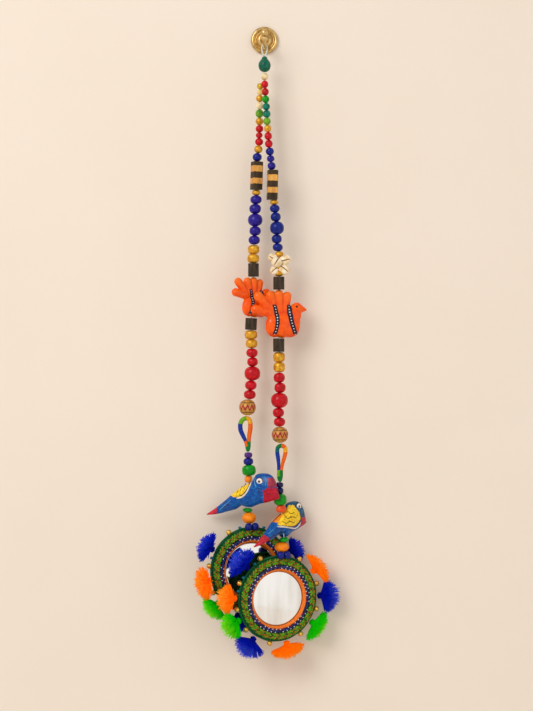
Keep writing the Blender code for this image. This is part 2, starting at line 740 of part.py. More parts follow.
def tassel(name, colour, place, seen, reach, spread, thick, lean):
    """A bound yarn head whose face is drawn out into three-sided locks."""
    t = place.true_angle(seen)
    straight = place.across * math.cos(t) + place.up * math.sin(t)
    outward = (straight * 24.0 + Vector((0.0, lean, 0.0))).normalized()
    sideways = (place.across * -math.sin(t) + place.up * math.cos(t)).normalized()
    through = outward.cross(sideways).normalized()
    root = place.centre + straight * TASSEL_ROOT

    def at(along, u, v):
        return root + outward * along + sideways * u + through * v

    columns = 4
    rows = 2
    shell = bmesh.new()
    grid = {}
    for i in range(columns + 1):
        for j in range(rows + 1):
            a = 2.0 * i / columns - 1.0
            b = 2.0 * j / rows - 1.0
            u = a * math.sqrt(1.0 - b * b * 0.42)
            v = b * math.sqrt(1.0 - a * a * 0.42)
            dome = 1.2 * (1.0 - 0.5 * (u * u + v * v))
            grid[i, j] = (u, v, dome)
    border = [(i, 0) for i in range(columns)]
    border += [(columns, j) for j in range(rows)]
    border += [(i, rows) for i in range(columns, 0, -1)]
    border += [(0, j) for j in range(rows, 0, -1)]
    corners = {}
    for key, (u, v, dome) in grid.items():
        wide = u * TASSEL_HEAD_WIDTH * 1.12
        deep = v * TASSEL_HEAD_DEPTH * 1.12
        corners[key] = shell.verts.new(at(TASSEL_NECK + dome, wide, deep))
    previous = [corners[key] for key in border]
    for along, girth in ((4.6, 0.82), (1.8, 0.98), (0.0, 0.72)):
        ring = []
        for key in border:
            u, v, _ = grid[key]
            wide = u * TASSEL_HEAD_WIDTH * girth
            deep = v * TASSEL_HEAD_DEPTH * girth
            ring.append(shell.verts.new(at(along, wide, deep)))
        count = len(ring)
        for i in range(count):
            j = (i + 1) % count
            shell.faces.new((previous[i], previous[j], ring[j], ring[i]))
        previous = ring
    shell.faces.new(previous)
    for i in range(columns):
        for j in range(rows):
            a = (i, j)
            b = (i + 1, j)
            c = (i + 1, j + 1)
            d = (i, j + 1)
            halves = ((a, b, c), (a, c, d)) if (i + j) % 2 == 0 else ((a, b, d), (b, c, d))
            for half in halves:
                u = sum(grid[key][0] for key in half) / 3.0
                v = sum(grid[key][1] for key in half) / 3.0
                rim = [corners[key] for key in half]
                middle = sum((corner.co for corner in rim), Vector()) / 3.0
                bow = 1.0 - 0.5 * u * u - 0.3 * v * v
                bottom = TASSEL_NECK + (reach - TASSEL_ROOT - TASSEL_NECK) * bow
                tip_centre = at(bottom, u * spread, v * thick)
                foot = [shell.verts.new(middle + (corner.co - middle) * 0.72) for corner in rim]
                tip = []
                for corner in rim:
                    away = (corner.co - middle)
                    grown = sideways * away.dot(sideways) * 1.9 + through * away.dot(through) * 1.15
                    tip.append(shell.verts.new(tip_centre + grown * 0.8))
                for m in range(3):
                    n = (m + 1) % 3
                    shell.faces.new((rim[m], rim[n], foot[n], foot[m]))
                    shell.faces.new((foot[m], foot[n], tip[n], tip[m]))
                shell.faces.new(tip)
    return finish(name, colour, shell)


# Mirrors with their frames, ropes, edging and tassels
ROUNDS = (
    ("left", MIRROR_LEFT, BELLS_LEFT, TASSELS_LEFT, PAIR_SHIFT_LEFT),
    ("right", MIRROR_RIGHT, BELLS_RIGHT, TASSELS_RIGHT, PAIR_SHIFT_RIGHT),
)
for side, centre, bells, tassels, shift in ROUNDS:
    place = Round(centre)
    frame(f"{side}_mirror_frame", place)
    glass(f"{side}_mirror_glass", place)
    bead_rope(f"{side}_bead_rope", place)
    edging(f"{side}_edging", place, bells)
    for label, seen, reach, spread, thick, lean in tassels:
        colour = label.split("_")[0]
        tassel(f"{side}_tassel_{label}", colour, place, seen, reach, spread, thick, lean)
    pair = bmesh.new()
    rings = []
    for u, radius in PAIR_PROFILE:
        ring = []
        for k in range(10):
            t = 2.0 * math.pi * k / 10
            level = PAIR_LEVEL + radius * math.cos(t)
            ring.append(place.point(u + shift, level, PAIR_OFFSET + radius * math.sin(t)))
        rings.append(ring)
    skin(pair, rings)
    finish(f"{side}_blue_pair", "blue", pair)
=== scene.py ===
import math
import random

import bpy
from mathutils import Matrix, Vector, noise


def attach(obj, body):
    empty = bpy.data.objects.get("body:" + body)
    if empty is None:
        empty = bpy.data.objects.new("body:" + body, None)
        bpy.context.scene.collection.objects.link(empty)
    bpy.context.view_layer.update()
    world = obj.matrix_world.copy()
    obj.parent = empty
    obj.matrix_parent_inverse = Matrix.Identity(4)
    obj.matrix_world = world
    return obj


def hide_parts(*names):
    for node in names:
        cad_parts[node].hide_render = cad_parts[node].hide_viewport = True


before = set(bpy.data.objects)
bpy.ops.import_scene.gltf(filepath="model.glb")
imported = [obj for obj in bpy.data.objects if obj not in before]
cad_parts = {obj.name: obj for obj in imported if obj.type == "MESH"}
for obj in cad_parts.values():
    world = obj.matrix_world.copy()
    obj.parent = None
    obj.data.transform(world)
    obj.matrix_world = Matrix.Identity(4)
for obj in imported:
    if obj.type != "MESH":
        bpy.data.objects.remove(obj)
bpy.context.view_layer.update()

MM = 0.001

# The room. A plain cream wall stands just behind the hook's plate and a pale floor lies well below.
# The wall is painted on its room side only, so that the hanging can be looked at from behind.
ROOM_HALF = 3.0
FLOOR_LEVEL = -1.3
EYE_DISTANCE = 1.70
EYE_ACROSS = 0.0022
EYE_LEVEL = -0.3463
FRAME_HEIGHT = 711 * 0.0011
SENSOR = 36.0


def tone(red, green, blue):
    """A colour given in 0 to 255 as on a colour card, turned to the light it sends back."""
    parts = []
    for part in (red, green, blue):
        share = part / 255.0
        parts.append(share / 12.92 if share <= 0.04045 else ((share + 0.055) / 1.055) ** 2.4)
    return (*parts, 1.0)


class Wire:
    """One value or colour inside a paint; sums and products on it add the nodes that work them out."""

    def __init__(self, paint, socket):
        self.paint = paint
        self.socket = socket

    def work(self, operation, first, second):
        return self.paint.node("ShaderNodeMath", {"operation": operation}, {0: first, 1: second})

    def __add__(self, other):
        return self.work("ADD", self, other)

    def __radd__(self, other):
        return self.work("ADD", other, self)

    def __sub__(self, other):
        return self.work("SUBTRACT", self, other)

    def __rsub__(self, other):
        return self.work("SUBTRACT", other, self)

    def __mul__(self, other):
        return self.work("MULTIPLY", self, other)

    def __rmul__(self, other):
        return self.work("MULTIPLY", other, self)

    def __pow__(self, other):
        return self.work("POWER", self, other)

    def __abs__(self):
        return self.work("ABSOLUTE", self, 0.0)

    def most(self, other):
        return self.work("MAXIMUM", self, other)

    def held(self, low, high):
        """0 below low, 1 above high and a straight climb between them."""
        sockets = {0: self, 1: low, 2: high, 3: 0.0, 4: 1.0}
        return self.paint.node("ShaderNodeMapRange", {"clamp": True}, sockets)


class Paint:
    """A finish under its own name, laid on with nodes."""

    def __init__(self, name):
        self.material = bpy.data.materials.new(name)
        self.material.use_nodes = True
        self.tree = self.material.node_tree
        self.surface = self.tree.nodes["Principled BSDF"]
        self.surface.inputs["Specular IOR Level"].default_value = 0.2

    def feed(self, socket, value):
        """Links what the nodes work out to a socket, or sets a plain value on it."""
        if isinstance(value, Wire):
            self.tree.links.new(value.socket, socket)
        else:
            socket.default_value = value

    def node(self, kind, settings, sockets, out=0):
        made = self.tree.nodes.new(kind)
        for key, value in settings.items():
            setattr(made, key, value)
        for key, value in sockets.items():
            self.feed(made.inputs[key], value)
        return Wire(self, made.outputs[out])

    def where(self, stretch=(1.0, 1.0, 1.0)):
        """The place on the piece, in metres, stretched for grain and strokes."""
        spot = self.node("ShaderNodeTexCoord", {}, {}, 3)
        if stretch == (1.0, 1.0, 1.0):
            return spot
        return self.node("ShaderNodeVectorMath", {"operation": "MULTIPLY"}, {0: spot, 1: stretch})

    def axes(self, spot=None):
        spot = spot or self.where()
        return [self.node("ShaderNodeSeparateXYZ", {}, {0: spot}, k) for k in range(3)]

    def cloud(self, scale, detail=3.0, rough=0.55, stretch=(1.0, 1.0, 1.0)):
        """Soft uneven patches; scale is patches in a metre."""
        sockets = {"Vector": self.where(stretch), "Scale": scale, "Detail": detail, "Roughness": rough}
        return self.node("ShaderNodeTexNoise", {}, sockets)

    def mix(self, first, second, share):
        return self.node("ShaderNodeMix", {"data_type": "RGBA"}, {0: share, 6: first, 7: second}, 2)

    def finish(self, colour, rough, height=None, lift=0.0002, **others):
        """Joins colour, roughness and relief, and whatever else this finish has."""
        self.feed(self.surface.inputs["Base Color"], colour)
        self.feed(self.surface.inputs["Roughness"], rough)
        if height is not None:
            relief = self.node("ShaderNodeBump", {}, {"Height": height, "Distance": lift, "Strength": 1.0})
            self.tree.links.new(relief.socket, self.surface.inputs["Normal"])
        for key, value in others.items():
            self.feed(self.surface.inputs[key.replace("_", " ")], value)
        return self.material


def plane(name, corners, material):
    mesh = bpy.data.meshes.new(name)
    mesh.from_pydata(corners, [], [tuple(range(len(corners)))])
    mesh.materials.append(material)
    piece = bpy.data.objects.new(name, mesh)
    bpy.context.collection.objects.link(piece)
    return piece


wall_paint = Paint("wall_lime")
wall_patch = wall_paint.cloud(6.0)
wall_tint = wall_paint.mix(tone(240, 229, 217), tone(235, 223, 209), wall_patch)
wall_paint.finish(wall_tint, 0.9, wall_paint.cloud(900.0), 0.00005)
clear = wall_paint.node("ShaderNodeBsdfTransparent", {}, {})
behind = wall_paint.node("ShaderNodeNewGeometry", {}, {}, 6)
coat = Wire(wall_paint, wall_paint.surface.outputs[0])
both = wall_paint.node("ShaderNodeMixShader", {}, {0: behind, 1: coat, 2: clear})
wall_paint.tree.links.new(both.socket, wall_paint.tree.nodes["Material Output"].inputs[0])
plane(
    "wall",
    [
        (-ROOM_HALF, 0.0006, FLOOR_LEVEL),
        (ROOM_HALF, 0.0006, FLOOR_LEVEL),
        (ROOM_HALF, 0.0006, ROOM_HALF),
        (-ROOM_HALF, 0.0006, ROOM_HALF),
    ],
    wall_paint.material,
)
floor_paint = Paint("floor_pale")
floor_paint.finish(floor_paint.mix(tone(238, 230, 220), tone(230, 221, 210), floor_paint.cloud(3.0)), 0.8)
plane(
    "floor",
    [
        (-ROOM_HALF, -ROOM_HALF, FLOOR_LEVEL),
        (ROOM_HALF, -ROOM_HALF, FLOOR_LEVEL),
        (ROOM_HALF, ROOM_HALF, FLOOR_LEVEL),
        (-ROOM_HALF, ROOM_HALF, FLOOR_LEVEL),
    ],
    floor_paint.material,
)

# Light and eye. A broad soft lamp hangs up on the left, a weak one fills from the right,
# and the eye stands level with the middle of the hanging.
for label, spot, wide, power, colour in (
    ("key", (-1.5, -2.2, 1.1), 1.5, 42.0, (1.0, 0.97, 0.93)),
    ("fill", (1.75, -1.7, -0.35), 2.4, 8.5, (1.0, 0.985, 0.96)),
):
    lamp = bpy.data.lights.new(label, "AREA")
    lamp.energy = power
    lamp.size = wide
    lamp.color = colour
    holder = bpy.data.objects.new(label, lamp)
    holder.location = spot
    aim = Vector((0.0, 0.0, -0.36)) - Vector(spot)
    holder.rotation_euler = aim.to_track_quat("-Z", "Y").to_euler()
    bpy.context.collection.objects.link(holder)

sky = bpy.data.worlds.new("soft_room")
sky.use_nodes = True
sky.node_tree.nodes["Background"].inputs[0].default_value = (1.0, 0.965, 0.925, 1.0)
sky.node_tree.nodes["Background"].inputs[1].default_value = 0.6
bpy.context.scene.world = sky
bpy.context.scene.view_settings.view_transform = "Standard"

eye = bpy.data.cameras.new("eye")
eye.sensor_fit = "VERTICAL"
eye.sensor_height = SENSOR
eye.lens = SENSOR * EYE_DISTANCE / FRAME_HEIGHT
eye_holder = bpy.data.objects.new("eye", eye)
eye_holder.location = (EYE_ACROSS, -EYE_DISTANCE, EYE_LEVEL)
eye_holder.rotation_euler = (math.pi / 2.0, 0.0, 0.0)
bpy.context.collection.objects.link(eye_holder)
bpy.context.scene.camera = eye_holder

# Wall hook. A turned brass plate with a rounded rim and a domed middle, and a peg cast with a ball end
# that the hanging's loop drops over. Both are built anew over their hidden solids and get worn, lightly
# tarnished brass.
brass_paint = Paint("worn_brass")
tarnish = brass_paint.cloud(240.0, 5.0, 0.65)
scuff = brass_paint.cloud(1800.0, 2.0, 0.5, (1.0, 1.0, 0.25))
brass_tint = brass_paint.mix(tone(226, 194, 128), tone(150, 112, 62), tarnish.held(0.42, 0.72))
brass_metal = brass_paint.finish(brass_tint, 0.2 + tarnish * 0.25, scuff, 0.00006, Metallic=1.0)


class Shell:
    """Corners and faces of one piece while it is being made, in millimetres."""

    def __init__(self):
        self.corners = []
        self.faces = []
        self.marks = []

    def rings(self, rings, closed=False, capped=True, mark=0):
        """Skins equal rings of corners one after another."""
        start = len(self.corners)
        count = len(rings[0])
        for ring in rings:
            self.corners.extend(ring)
        spans = len(rings) if closed else len(rings) - 1
        for i in range(spans):
            upper = start + i * count
            lower = start + (i + 1) % len(rings) * count
            for k in range(count):
                m = (k + 1) % count
                self.faces.append((upper + k, upper + m, lower + m, lower + k))
                self.marks.append(mark)
        if capped and not closed:
            self.faces.append(tuple(start + k for k in reversed(range(count))))
            self.faces.append(tuple(start + (len(rings) - 1) * count + k for k in range(count)))
            self.marks.extend((mark, mark))

    def piece(self, name, materials, slot, place=None, smooth=True, nodes=()):
        """Makes the piece, rides it with the hanging and hides the imported parts that it stands for."""
        mesh = bpy.data.meshes.new(name)
        mesh.from_pydata([tuple(c * MM for c in corner) for corner in self.corners], [], self.faces)
        for material in materials:
            mesh.materials.append(material)
        mesh.polygons.foreach_set("material_index", self.marks)
        mesh.polygons.foreach_set("use_smooth", [smooth] * len(self.faces))
        mesh.update()
        made = bpy.data.objects.new(name, mesh)
        if place is not None:
            made.matrix_world = place
        bpy.context.collection.objects.link(made)
        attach(made, "root")
        if nodes:
            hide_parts(*nodes)
        return made


def turns(count):
    """The angles of equal steps once round."""
    return [2.0 * math.pi * k / count for k in range(count)]


def sweep(path, radii, sides, closed=False):
    """Rings round a bent path; the path is a list of points in millimetres."""
    path = [Vector(p) for p in path]
    count = len(path)
    rings = []
    normal = None
    for i, (point, radius) in enumerate(zip(path, radii)):
        if closed:
            along = (path[(i + 1) % count] - path[i - 1]).normalized()
        else:
            along = (path[min(i + 1, count - 1)] - path[max(i - 1, 0)]).normalized()
        if normal is None:
            normal = along.orthogonal().normalized()
        normal = (normal - along * normal.dot(along)).normalized()
        other = along.cross(normal)
        ring = []
        for t in turns(sides):
            ring.append(tuple(point + normal * (radius * math.cos(t)) + other * (radius * math.sin(t))))
        rings.append(ring)
    return rings


def curved(points, steps, closed=False):
    """A smooth path through the given points, which may carry more than three numbers each."""
    count = len(points)
    spans = count if closed else count - 1
    path = []
    for i in range(spans):
        if closed:
            four = [points[(i + k) % count] for k in (-1, 0, 1, 2)]
        else:
            four = [points[min(max(i + k, 0), count - 1)] for k in (-1, 0, 1, 2)]
        for step in range(steps):
            t = step / steps
            place = []
            for a, b, c, d in zip(*four):
                first = (c - a) * t
                second = (2 * a - 5 * b + 4 * c - d) * t * t
                third = (3 * b - a - 3 * c + d) * t ** 3
                place.append(0.5 * (2 * b + first + second + third))
            path.append(tuple(place))
    if not closed:
        path.append(tuple(points[-1]))
    return path


# The plate is turned: rings of radius and depth from the wall, back to front
PLATE = (
    (0.4, -0.05), (14.0, -0.05), (14.6, -0.3), (15.0, -1.1), (14.9, -1.9), (14.3, -2.9), (13.4, -3.6),
    (12.4, -3.7), (11.4, -3.2), (10.6, -2.5), (10.0, -2.1), (9.6, -2.2), (9.2, -2.7), (8.7, -3.5),
    (8.3, -4.4), (7.8, -5.3), (7.0, -6.2), (6.0, -6.8), (5.0, -7.0), (0.4, -7.05),
)
plate = Shell()
plate.rings([[(r * math.sin(t), depth, r * math.cos(t)) for t in turns(64)] for r, depth in PLATE])
plate.piece("hook_plate", [brass_metal], "brass", nodes=("wall_plate",))
# The peg runs from the plate's middle down and forward and up again: across, depth, height, radius
PEG = (
    (0.0, -7.3, 0.0, 5.3), (0.0, -8.3, 0.0, 5.3), (0.0, -9.2, -0.2, 4.9), (0.0, -10.8, -1.2, 3.7),
    (0.0, -12.6, -3.2, 2.7), (0.0, -15.4, -7.2, 2.1), (0.0, -19.2, -11.0, 1.8), (0.0, -23.4, -12.9, 1.6),
    (0.0, -27.6, -12.8, 1.6), (0.0, -31.2, -10.2, 1.8), (0.0, -33.2, -6.0, 2.1), (0.0, -33.7, -2.9, 2.0),
)
peg = Shell()
peg_path = curved(PEG, 5)
peg.rings(sweep([p[:3] for p in peg_path], [p[3] for p in peg_path], 24))
BALL_RADIUS = 3.9
BALL_FRONT = 33.6
BALL_LEVEL = 1.6
ball_rings = []
for k in range(15):
    t = math.pi * (0.04 + 0.92 * k / 14)
    girth = BALL_RADIUS * math.sin(t)
    rise = BALL_LEVEL - BALL_RADIUS * math.cos(t)
    ball_rings.append([(girth * math.cos(s), girth * math.sin(s) - BALL_FRONT, rise) for s in turns(24)])
peg.rings(ball_rings)
peg.piece("hook_peg", [brass_metal], "brass", nodes=("wall_hook",))

# Hanging loop. A white cotton cord of three twisted strands, closed over the peg, with its two sides
# drawn together where they go down into the drop bead.
CORD_RADIUS = 0.8
LOOP_DEPTH = -26.4
# The cord's middle line from the top round: across and height
LOOP = (
    (0.0, -9.9), (2.0, -10.7), (2.9, -12.8), (2.7, -16.0), (1.9, -19.4),
    (0.0, -21.5), (-1.9, -19.4), (-2.7, -16.0), (-2.9, -12.8), (-2.0, -10.7),
)
cord_paint = Paint("cotton_cord")
cord_shade = cord_paint.cloud(1500.0, 4.0)
cord_tint = cord_paint.mix(tone(235, 236, 226), tone(150, 176, 168), cord_shade.held(0.45, 0.75))
cotton = cord_paint.finish(cord_tint, 0.85, cord_shade, 0.0001, Sheen_Weight=0.3)


def twisted(shell, path, radius, strands, turns, sides=8, closed=False, mark=0):
    """Lays a cord of twisted strands along a path."""
    count = len(path)
    core = sweep(path, [radius * 0.52] * count, strands * 12, closed)
    for strand in range(strands):
        line = []
        for i, ring in enumerate(core):
            phase = (strand / strands + turns * i / count) % 1.0 * len(ring)
            low = int(phase)
            share = phase - low
            a = Vector(ring[low % len(ring)])
            b = Vector(ring[(low + 1) % len(ring)])
            line.append(a.lerp(b, share))
        shell.rings(sweep(line, [radius * 0.5] * len(line), sides, closed), closed=closed, mark=mark)


loop = Shell()
loop_path = curved([(across, LOOP_DEPTH, level) for across, level in LOOP], 12, closed=True)
twisted(loop, loop_path, CORD_RADIUS, 3, 9, closed=True)
loop.piece("hanging_loop_cord", [cotton], "white_cord", nodes=("hanging_loop",))

# Painted wooden beads. Each is turned with a hole for the thread, dipped in colour and left glossy,
# so the colour is a little uneven in patches and over the grain.
BEAD_COLOURS = {
    "red": ((210, 2, 26), (146, 0, 12)),
    "gold": ((232, 176, 52), (178, 112, 14)),
    "straw": ((225, 195, 60), (170, 140, 30)),
    "butter": ((244, 226, 150), (206, 178, 80)),
    "cream": ((248, 232, 190), (214, 188, 130)),
    "lime": ((120, 178, 36), (50, 120, 16)),
    "green": ((4, 160, 22), (0, 100, 14)),
    "teal": ((0, 128, 104), (0, 76, 62)),
    "blue": ((8, 26, 140), (4, 10, 90)),
    "royal": ((4, 32, 140), (0, 10, 84)),
    "violet": ((42, 22, 146), (10, 12, 108)),
    "purple": ((96, 44, 140), (44, 14, 84)),
    "navy": ((22, 16, 92), (8, 4, 50)),
    "coral": ((240, 96, 40), (200, 50, 20)),
    "orange": ((246, 140, 36), (206, 92, 16)),
    "amber": ((250, 148, 16), (224, 106, 2)),
    "drop": ((0, 110, 84), (0, 62, 50)),
}
GLOSS = {"gold": 0.34, "straw": 0.34, "butter": 0.4, "cream": 0.4, "amber": 0.42}
bead_paints = {}


def bead_paint(colour):
    if colour in bead_paints:
        return bead_paints[colour]
    light, deep = BEAD_COLOURS[colour]
    paint = Paint(f"bead_{colour}")
    patch = paint.cloud(260.0, 3.0, 0.6)
    grain = paint.cloud(420.0, 4.0, 0.7, (1.0, 1.0, 0.16))
    tint = paint.mix(tone(*light), tone(*deep), (patch * 0.7 + grain * 0.3).held(0.4, 0.66))
    rough = GLOSS.get(colour, 0.24) + grain * 0.18
    metal = 0.45 if colour in ("gold", "straw") else 0.0
    paint.finish(tint, rough, grain, 0.00012, Coat_Weight=0.14, Coat_Roughness=0.1, Metallic=metal)
    bead_paints[colour] = paint.material
    return paint.material


HOLE = 0.2


def turned_bead(shell, x, y, top, bottom, across, fullness=2.25, lean=(0.0, 0.0), sides=32, mark=0):
    """A bead turned from the hole's rim over its belly to the other rim, with the holes sunk at both ends."""
    middle = (top + bottom) / 2.0
    half = (top - bottom) / 2.0
    radius = across / 2.0
    steps = 18
    rings = []
    profile = [(HOLE * 0.75, 0.72), (HOLE * 0.95, 0.93)]
    for k in range(steps + 1):
        t = math.pi * k / steps
        rise = math.cos(t)
        girth = (1.0 - abs(rise * 0.985) ** fullness) ** (1.0 / fullness)
        profile.append((max(girth, HOLE), rise))
    profile += [(HOLE * 0.95, -0.93), (HOLE * 0.75, -0.72)]
    for girth, rise in profile:
        ring = []
        for t in turns(sides):
            spot = Vector((math.cos(t) * 1.3 + x, math.sin(t) * 1.3 + y, rise * 1.2 + middle))
            reach = radius * girth * (1.0 + noise.noise(spot) * 0.022)
            u = reach * math.cos(t)
            v = reach * math.sin(t)
            w = half * rise
            ring.append((x + u + lean[0] * w, y + v + lean[1] * w, middle + w - lean[0] * u - lean[1] * v))
        rings.append(ring)
    shell.rings(rings, mark=mark)


drop = Shell()
# The drop bead's turned outline, from the hole at its top to the one at its foot: radius and height
DROP = (
    (0.5, -23.5), (0.9, -22.75), (1.7, -22.7), (2.4, -23.1), (2.9, -24.2), (3.3, -25.2), (4.0, -26.2),
    (5.0, -27.4), (5.9, -28.7), (6.5, -30.3), (6.75, -32.0), (6.6, -33.8), (6.1, -35.6), (5.1, -37.2),
    (3.9, -38.4), (2.5, -39.1), (1.3, -39.3), (0.7, -38.8), (0.5, -38.0),
)
drop.rings([[(0.1 + r * math.cos(t), -26.6 + r * math.sin(t), z) for t in turns(40)] for r, z in DROP])
drop.piece("drop_bead_green", [bead_paint("drop")], "green_wood", nodes=("drop_bead",))
cream = Shell()
turned_bead(cream, 0.2, -26.8, -40.5, -48.3, 7.8)
cream.piece("cream_bead_top", [bead_paint("cream")], "cream_wood", nodes=("cream_bead",))

# The runs of beads on the two threads. Each row is one bead: across, depth, top, bottom,
# diameter and colour.
RUNS = {
    "left_small_beads": ("mixed_wood", 2.1, (
    (-4.3, -23.1, -50.8, -57.5, 7.9, 'straw'),
    (-4.3, -23.1, -57.5, -63.7, 7.8, 'butter'),
    (-5.2, -23.2, -63.7, -71.2, 8.0, 'gold'),
    (-5.0, -23.3, -71.2, -79.3, 8.0, 'cream'),
    (-5.4, -23.4, -79.3, -88.3, 8.7, 'lime'),
    (-5.4, -23.5, -88.3, -96.6, 8.2, 'gold'),
    (-5.4, -23.6, -96.6, -104.3, 8.5, 'red'),
    (-5.7, -23.7, -104.3, -110.7, 7.4, 'red'),
    (-5.8, -23.8, -110.7, -118.5, 8.9, 'red'),
    (-6.6, -23.9, -118.5, -126.8, 9.1, 'gold'),
    (-7.9, -24.0, -126.8, -135.8, 10.1, 'blue'),
    )),
    "left_violet_beads": ("violet_wood", 2.3, (
    (-8.9, -24.0, -166.9, -172.7, 9.3, 'gold'),
    (-9.2, -24.0, -172.7, -182.0, 12.5, 'violet'),
    (-10.1, -24.0, -182.0, -192.6, 12.8, 'violet'),
    (-10.1, -24.0, -192.6, -206.2, 15.9, 'violet'),
    (-10.1, -24.0, -206.2, -216.3, 12.5, 'violet'),
    (-11.1, -24.0, -216.3, -226.0, 12.5, 'violet'),
    )),
    "left_gold_upper": ("gold_wood", 3.0, (
    (-11.8, -24.0, -226.5, -236.3, 12.6, 'gold'),
    (-12.2, -24.0, -236.3, -246.0, 12.9, 'gold'),
    )),
    "left_gold_lower": ("gold_wood", 3.0, (
    (-14.7, -24.6, -319.0, -328.7, 13.6, 'gold'),
    (-14.0, -24.9, -328.7, -338.1, 12.7, 'gold'),
    )),
    "left_red_beads": ("red_wood", 2.3, (
    (-13.5, -25.2, -338.5, -348.3, 12.6, 'red'),
    (-12.9, -25.4, -348.3, -358.2, 11.8, 'red'),
    (-13.1, -25.7, -358.2, -373.4, 17.3, 'red'),
    (-14.8, -26.1, -373.4, -383.7, 12.6, 'red'),
    (-15.9, -26.3, -383.7, -393.5, 13.0, 'red'),
    )),
    "left_neck_beads": ("green_wood", 2.8, (
    (-17.5, -28.8, -450.9, -457.1, 8.7, 'purple'),
    (-17.4, -29.1, -457.1, -464.6, 10.6, 'blue'),
    (-16.8, -29.7, -464.6, -476.2, 14.9, 'green'),
    (-17.2, -30.3, -476.2, -483.4, 8.6, 'orange'),
    )),
    "left_orange_bead": ("amber_wood", 2.1, (
    (-18.4, -31.0, -510.9, -515.5, 10.4, 'green'),
    (-16.6, -31.0, -515.5, -527.8, 15.2, 'amber'),
    )),
    "right_small_beads": ("mixed_wood", 2.1, (
    (0.3, -30.0, -49.2, -57.4, 7.6, 'red'),
    (0.9, -30.0, -57.4, -65.4, 7.6, 'red'),
    (1.2, -30.0, -65.4, -73.5, 7.9, 'green'),
    (2.0, -30.0, -73.5, -81.2, 7.8, 'teal'),
    (2.4, -30.0, -81.2, -89.3, 8.4, 'teal'),
    (2.7, -30.0, -89.3, -97.1, 8.1, 'lime'),
    (3.5, -30.0, -97.1, -104.9, 7.8, 'gold'),
    (4.0, -30.0, -104.9, -113.4, 8.1, 'red'),
    (4.7, -30.0, -113.4, -121.7, 8.3, 'red'),
    (5.8, -30.0, -121.7, -129.9, 9.0, 'blue'),
    (6.7, -30.0, -129.9, -137.3, 8.2, 'violet'),
    (7.7, -30.0, -137.3, -145.6, 8.9, 'violet'),
    )),
    "right_blue_beads": ("blue_wood", 2.3, (
    (10.4, -30.0, -178.2, -183.3, 9.1, 'gold'),
    (11.1, -30.0, -183.3, -191.7, 10.8, 'royal'),
    (12.1, -30.0, -191.7, -201.5, 11.0, 'royal'),
    (13.5, -30.0, -201.5, -215.5, 15.2, 'royal'),
    (13.2, -30.0, -215.5, -225.2, 11.1, 'royal'),
    (14.3, -30.0, -225.2, -233.8, 11.0, 'royal'),
    (16.0, -30.0, -233.8, -239.8, 9.1, 'gold'),
    )),
    "right_gold_lower": ("gold_wood", 3.0, (
    (15.7, -30.7, -342.6, -353.5, 13.0, 'gold'),
    (15.9, -31.0, -353.5, -364.3, 12.6, 'gold'),
    )),
    "right_red_beads": ("red_wood", 2.3, (
    (15.9, -31.3, -364.8, -375.6, 12.4, 'red'),
    (16.8, -31.5, -375.6, -386.6, 12.4, 'red'),
    (16.2, -31.9, -386.6, -402.8, 18.3, 'red'),
    (15.0, -32.2, -402.8, -413.1, 12.4, 'red'),
    (16.2, -32.5, -413.1, -422.8, 12.5, 'red'),
    )),
    "right_neck_beads": ("green_wood", 2.8, (
    (16.4, -34.9, -482.8, -488.7, 7.8, 'navy'),
    (16.5, -35.1, -488.7, -495.5, 8.0, 'navy'),
    (17.0, -35.5, -495.5, -507.5, 13.9, 'green'),
    (17.8, -36.1, -507.5, -515.4, 10.8, 'coral'),
    )),
    "right_orange_bead": ("amber_wood", 2.2, (
    (21.2, -38.0, -541.7, -547.0, 10.3, 'green'),
    (18.5, -38.2, -547.0, -557.4, 15.5, 'amber'),
    )),
}
chance = random.Random(7)
for node, (slot, fullness, rows) in RUNS.items():
    run = Shell()
    colours = []
    for x, y, top, bottom, across, colour in rows:
        if colour not in colours:
            colours.append(colour)
        lean = (chance.uniform(-0.05, 0.05), chance.uniform(-0.05, 0.05))
        turned_bead(run, x, y, top, bottom, across, fullness, lean=lean, mark=colours.index(colour))
    run.piece(f"{node}_turned", [bead_paint(colour) for colour in colours], slot, nodes=(node,))

# Striped blocks and dark six-sided beads. The blocks are four-sided sticks of wood, burnt black in three
# bands and left tan between them; the six-sided beads are dark wood, oiled and worn paler at the corners.
BLOCKS = {
    "left_box_bead": ((-8.5, -24.0, -151.4, 10.5, 30.4), 70.0, 1.7),
    "right_box_bead": ((8.6, -30.0, -162.0, 10.9, 31.8), 52.5, 1.5),
}
HEXES = {
    "left_hex_upper": ((-11.9, -24.1, -253.6, 13.4, 14.4), 30.0, 0.0),
    "left_hex_lower": ((-14.5, -24.5, -312.2, 14.3, 12.7), 28.0, 2.5),
    "right_hex_upper": ((15.5, -30.1, -268.1, 13.8, 13.9), 30.0, 0.0),
    "right_hex_lower": ((15.4, -30.5, -335.1, 14.0, 14.4), 30.0, 0.0),
}
stripe_paint = Paint("banded_wood")
height = stripe_paint.axes()[2] + (stripe_paint.cloud(300.0) - 0.5) * 0.0016
grain = stripe_paint.cloud(260.0, 5.0, 0.7, (1.0, 1.0, 0.12))
scorch = stripe_paint.mix(tone(70, 52, 26), tone(20, 15, 8), grain.held(0.38, 0.62))
bare = stripe_paint.mix(tone(232, 172, 84), tone(176, 108, 40), grain.held(0.4, 0.66))
tan_band = height.held(0.0040, 0.0044) * (1.0 - height.held(0.0106, 0.0110))
tan_band = tan_band + height.held(-0.0091, -0.0087) * (1.0 - height.held(-0.0030, -0.0026))
banded = stripe_paint.finish(
    stripe_paint.mix(scorch, bare, tan_band), 0.42 + grain * 0.2, grain, 0.0002, Coat_Weight=0.15
)
dark_paint = Paint("oiled_dark_wood")
dark_grain = dark_paint.cloud(300.0, 5.0, 0.7, (1.0, 1.0, 0.15))
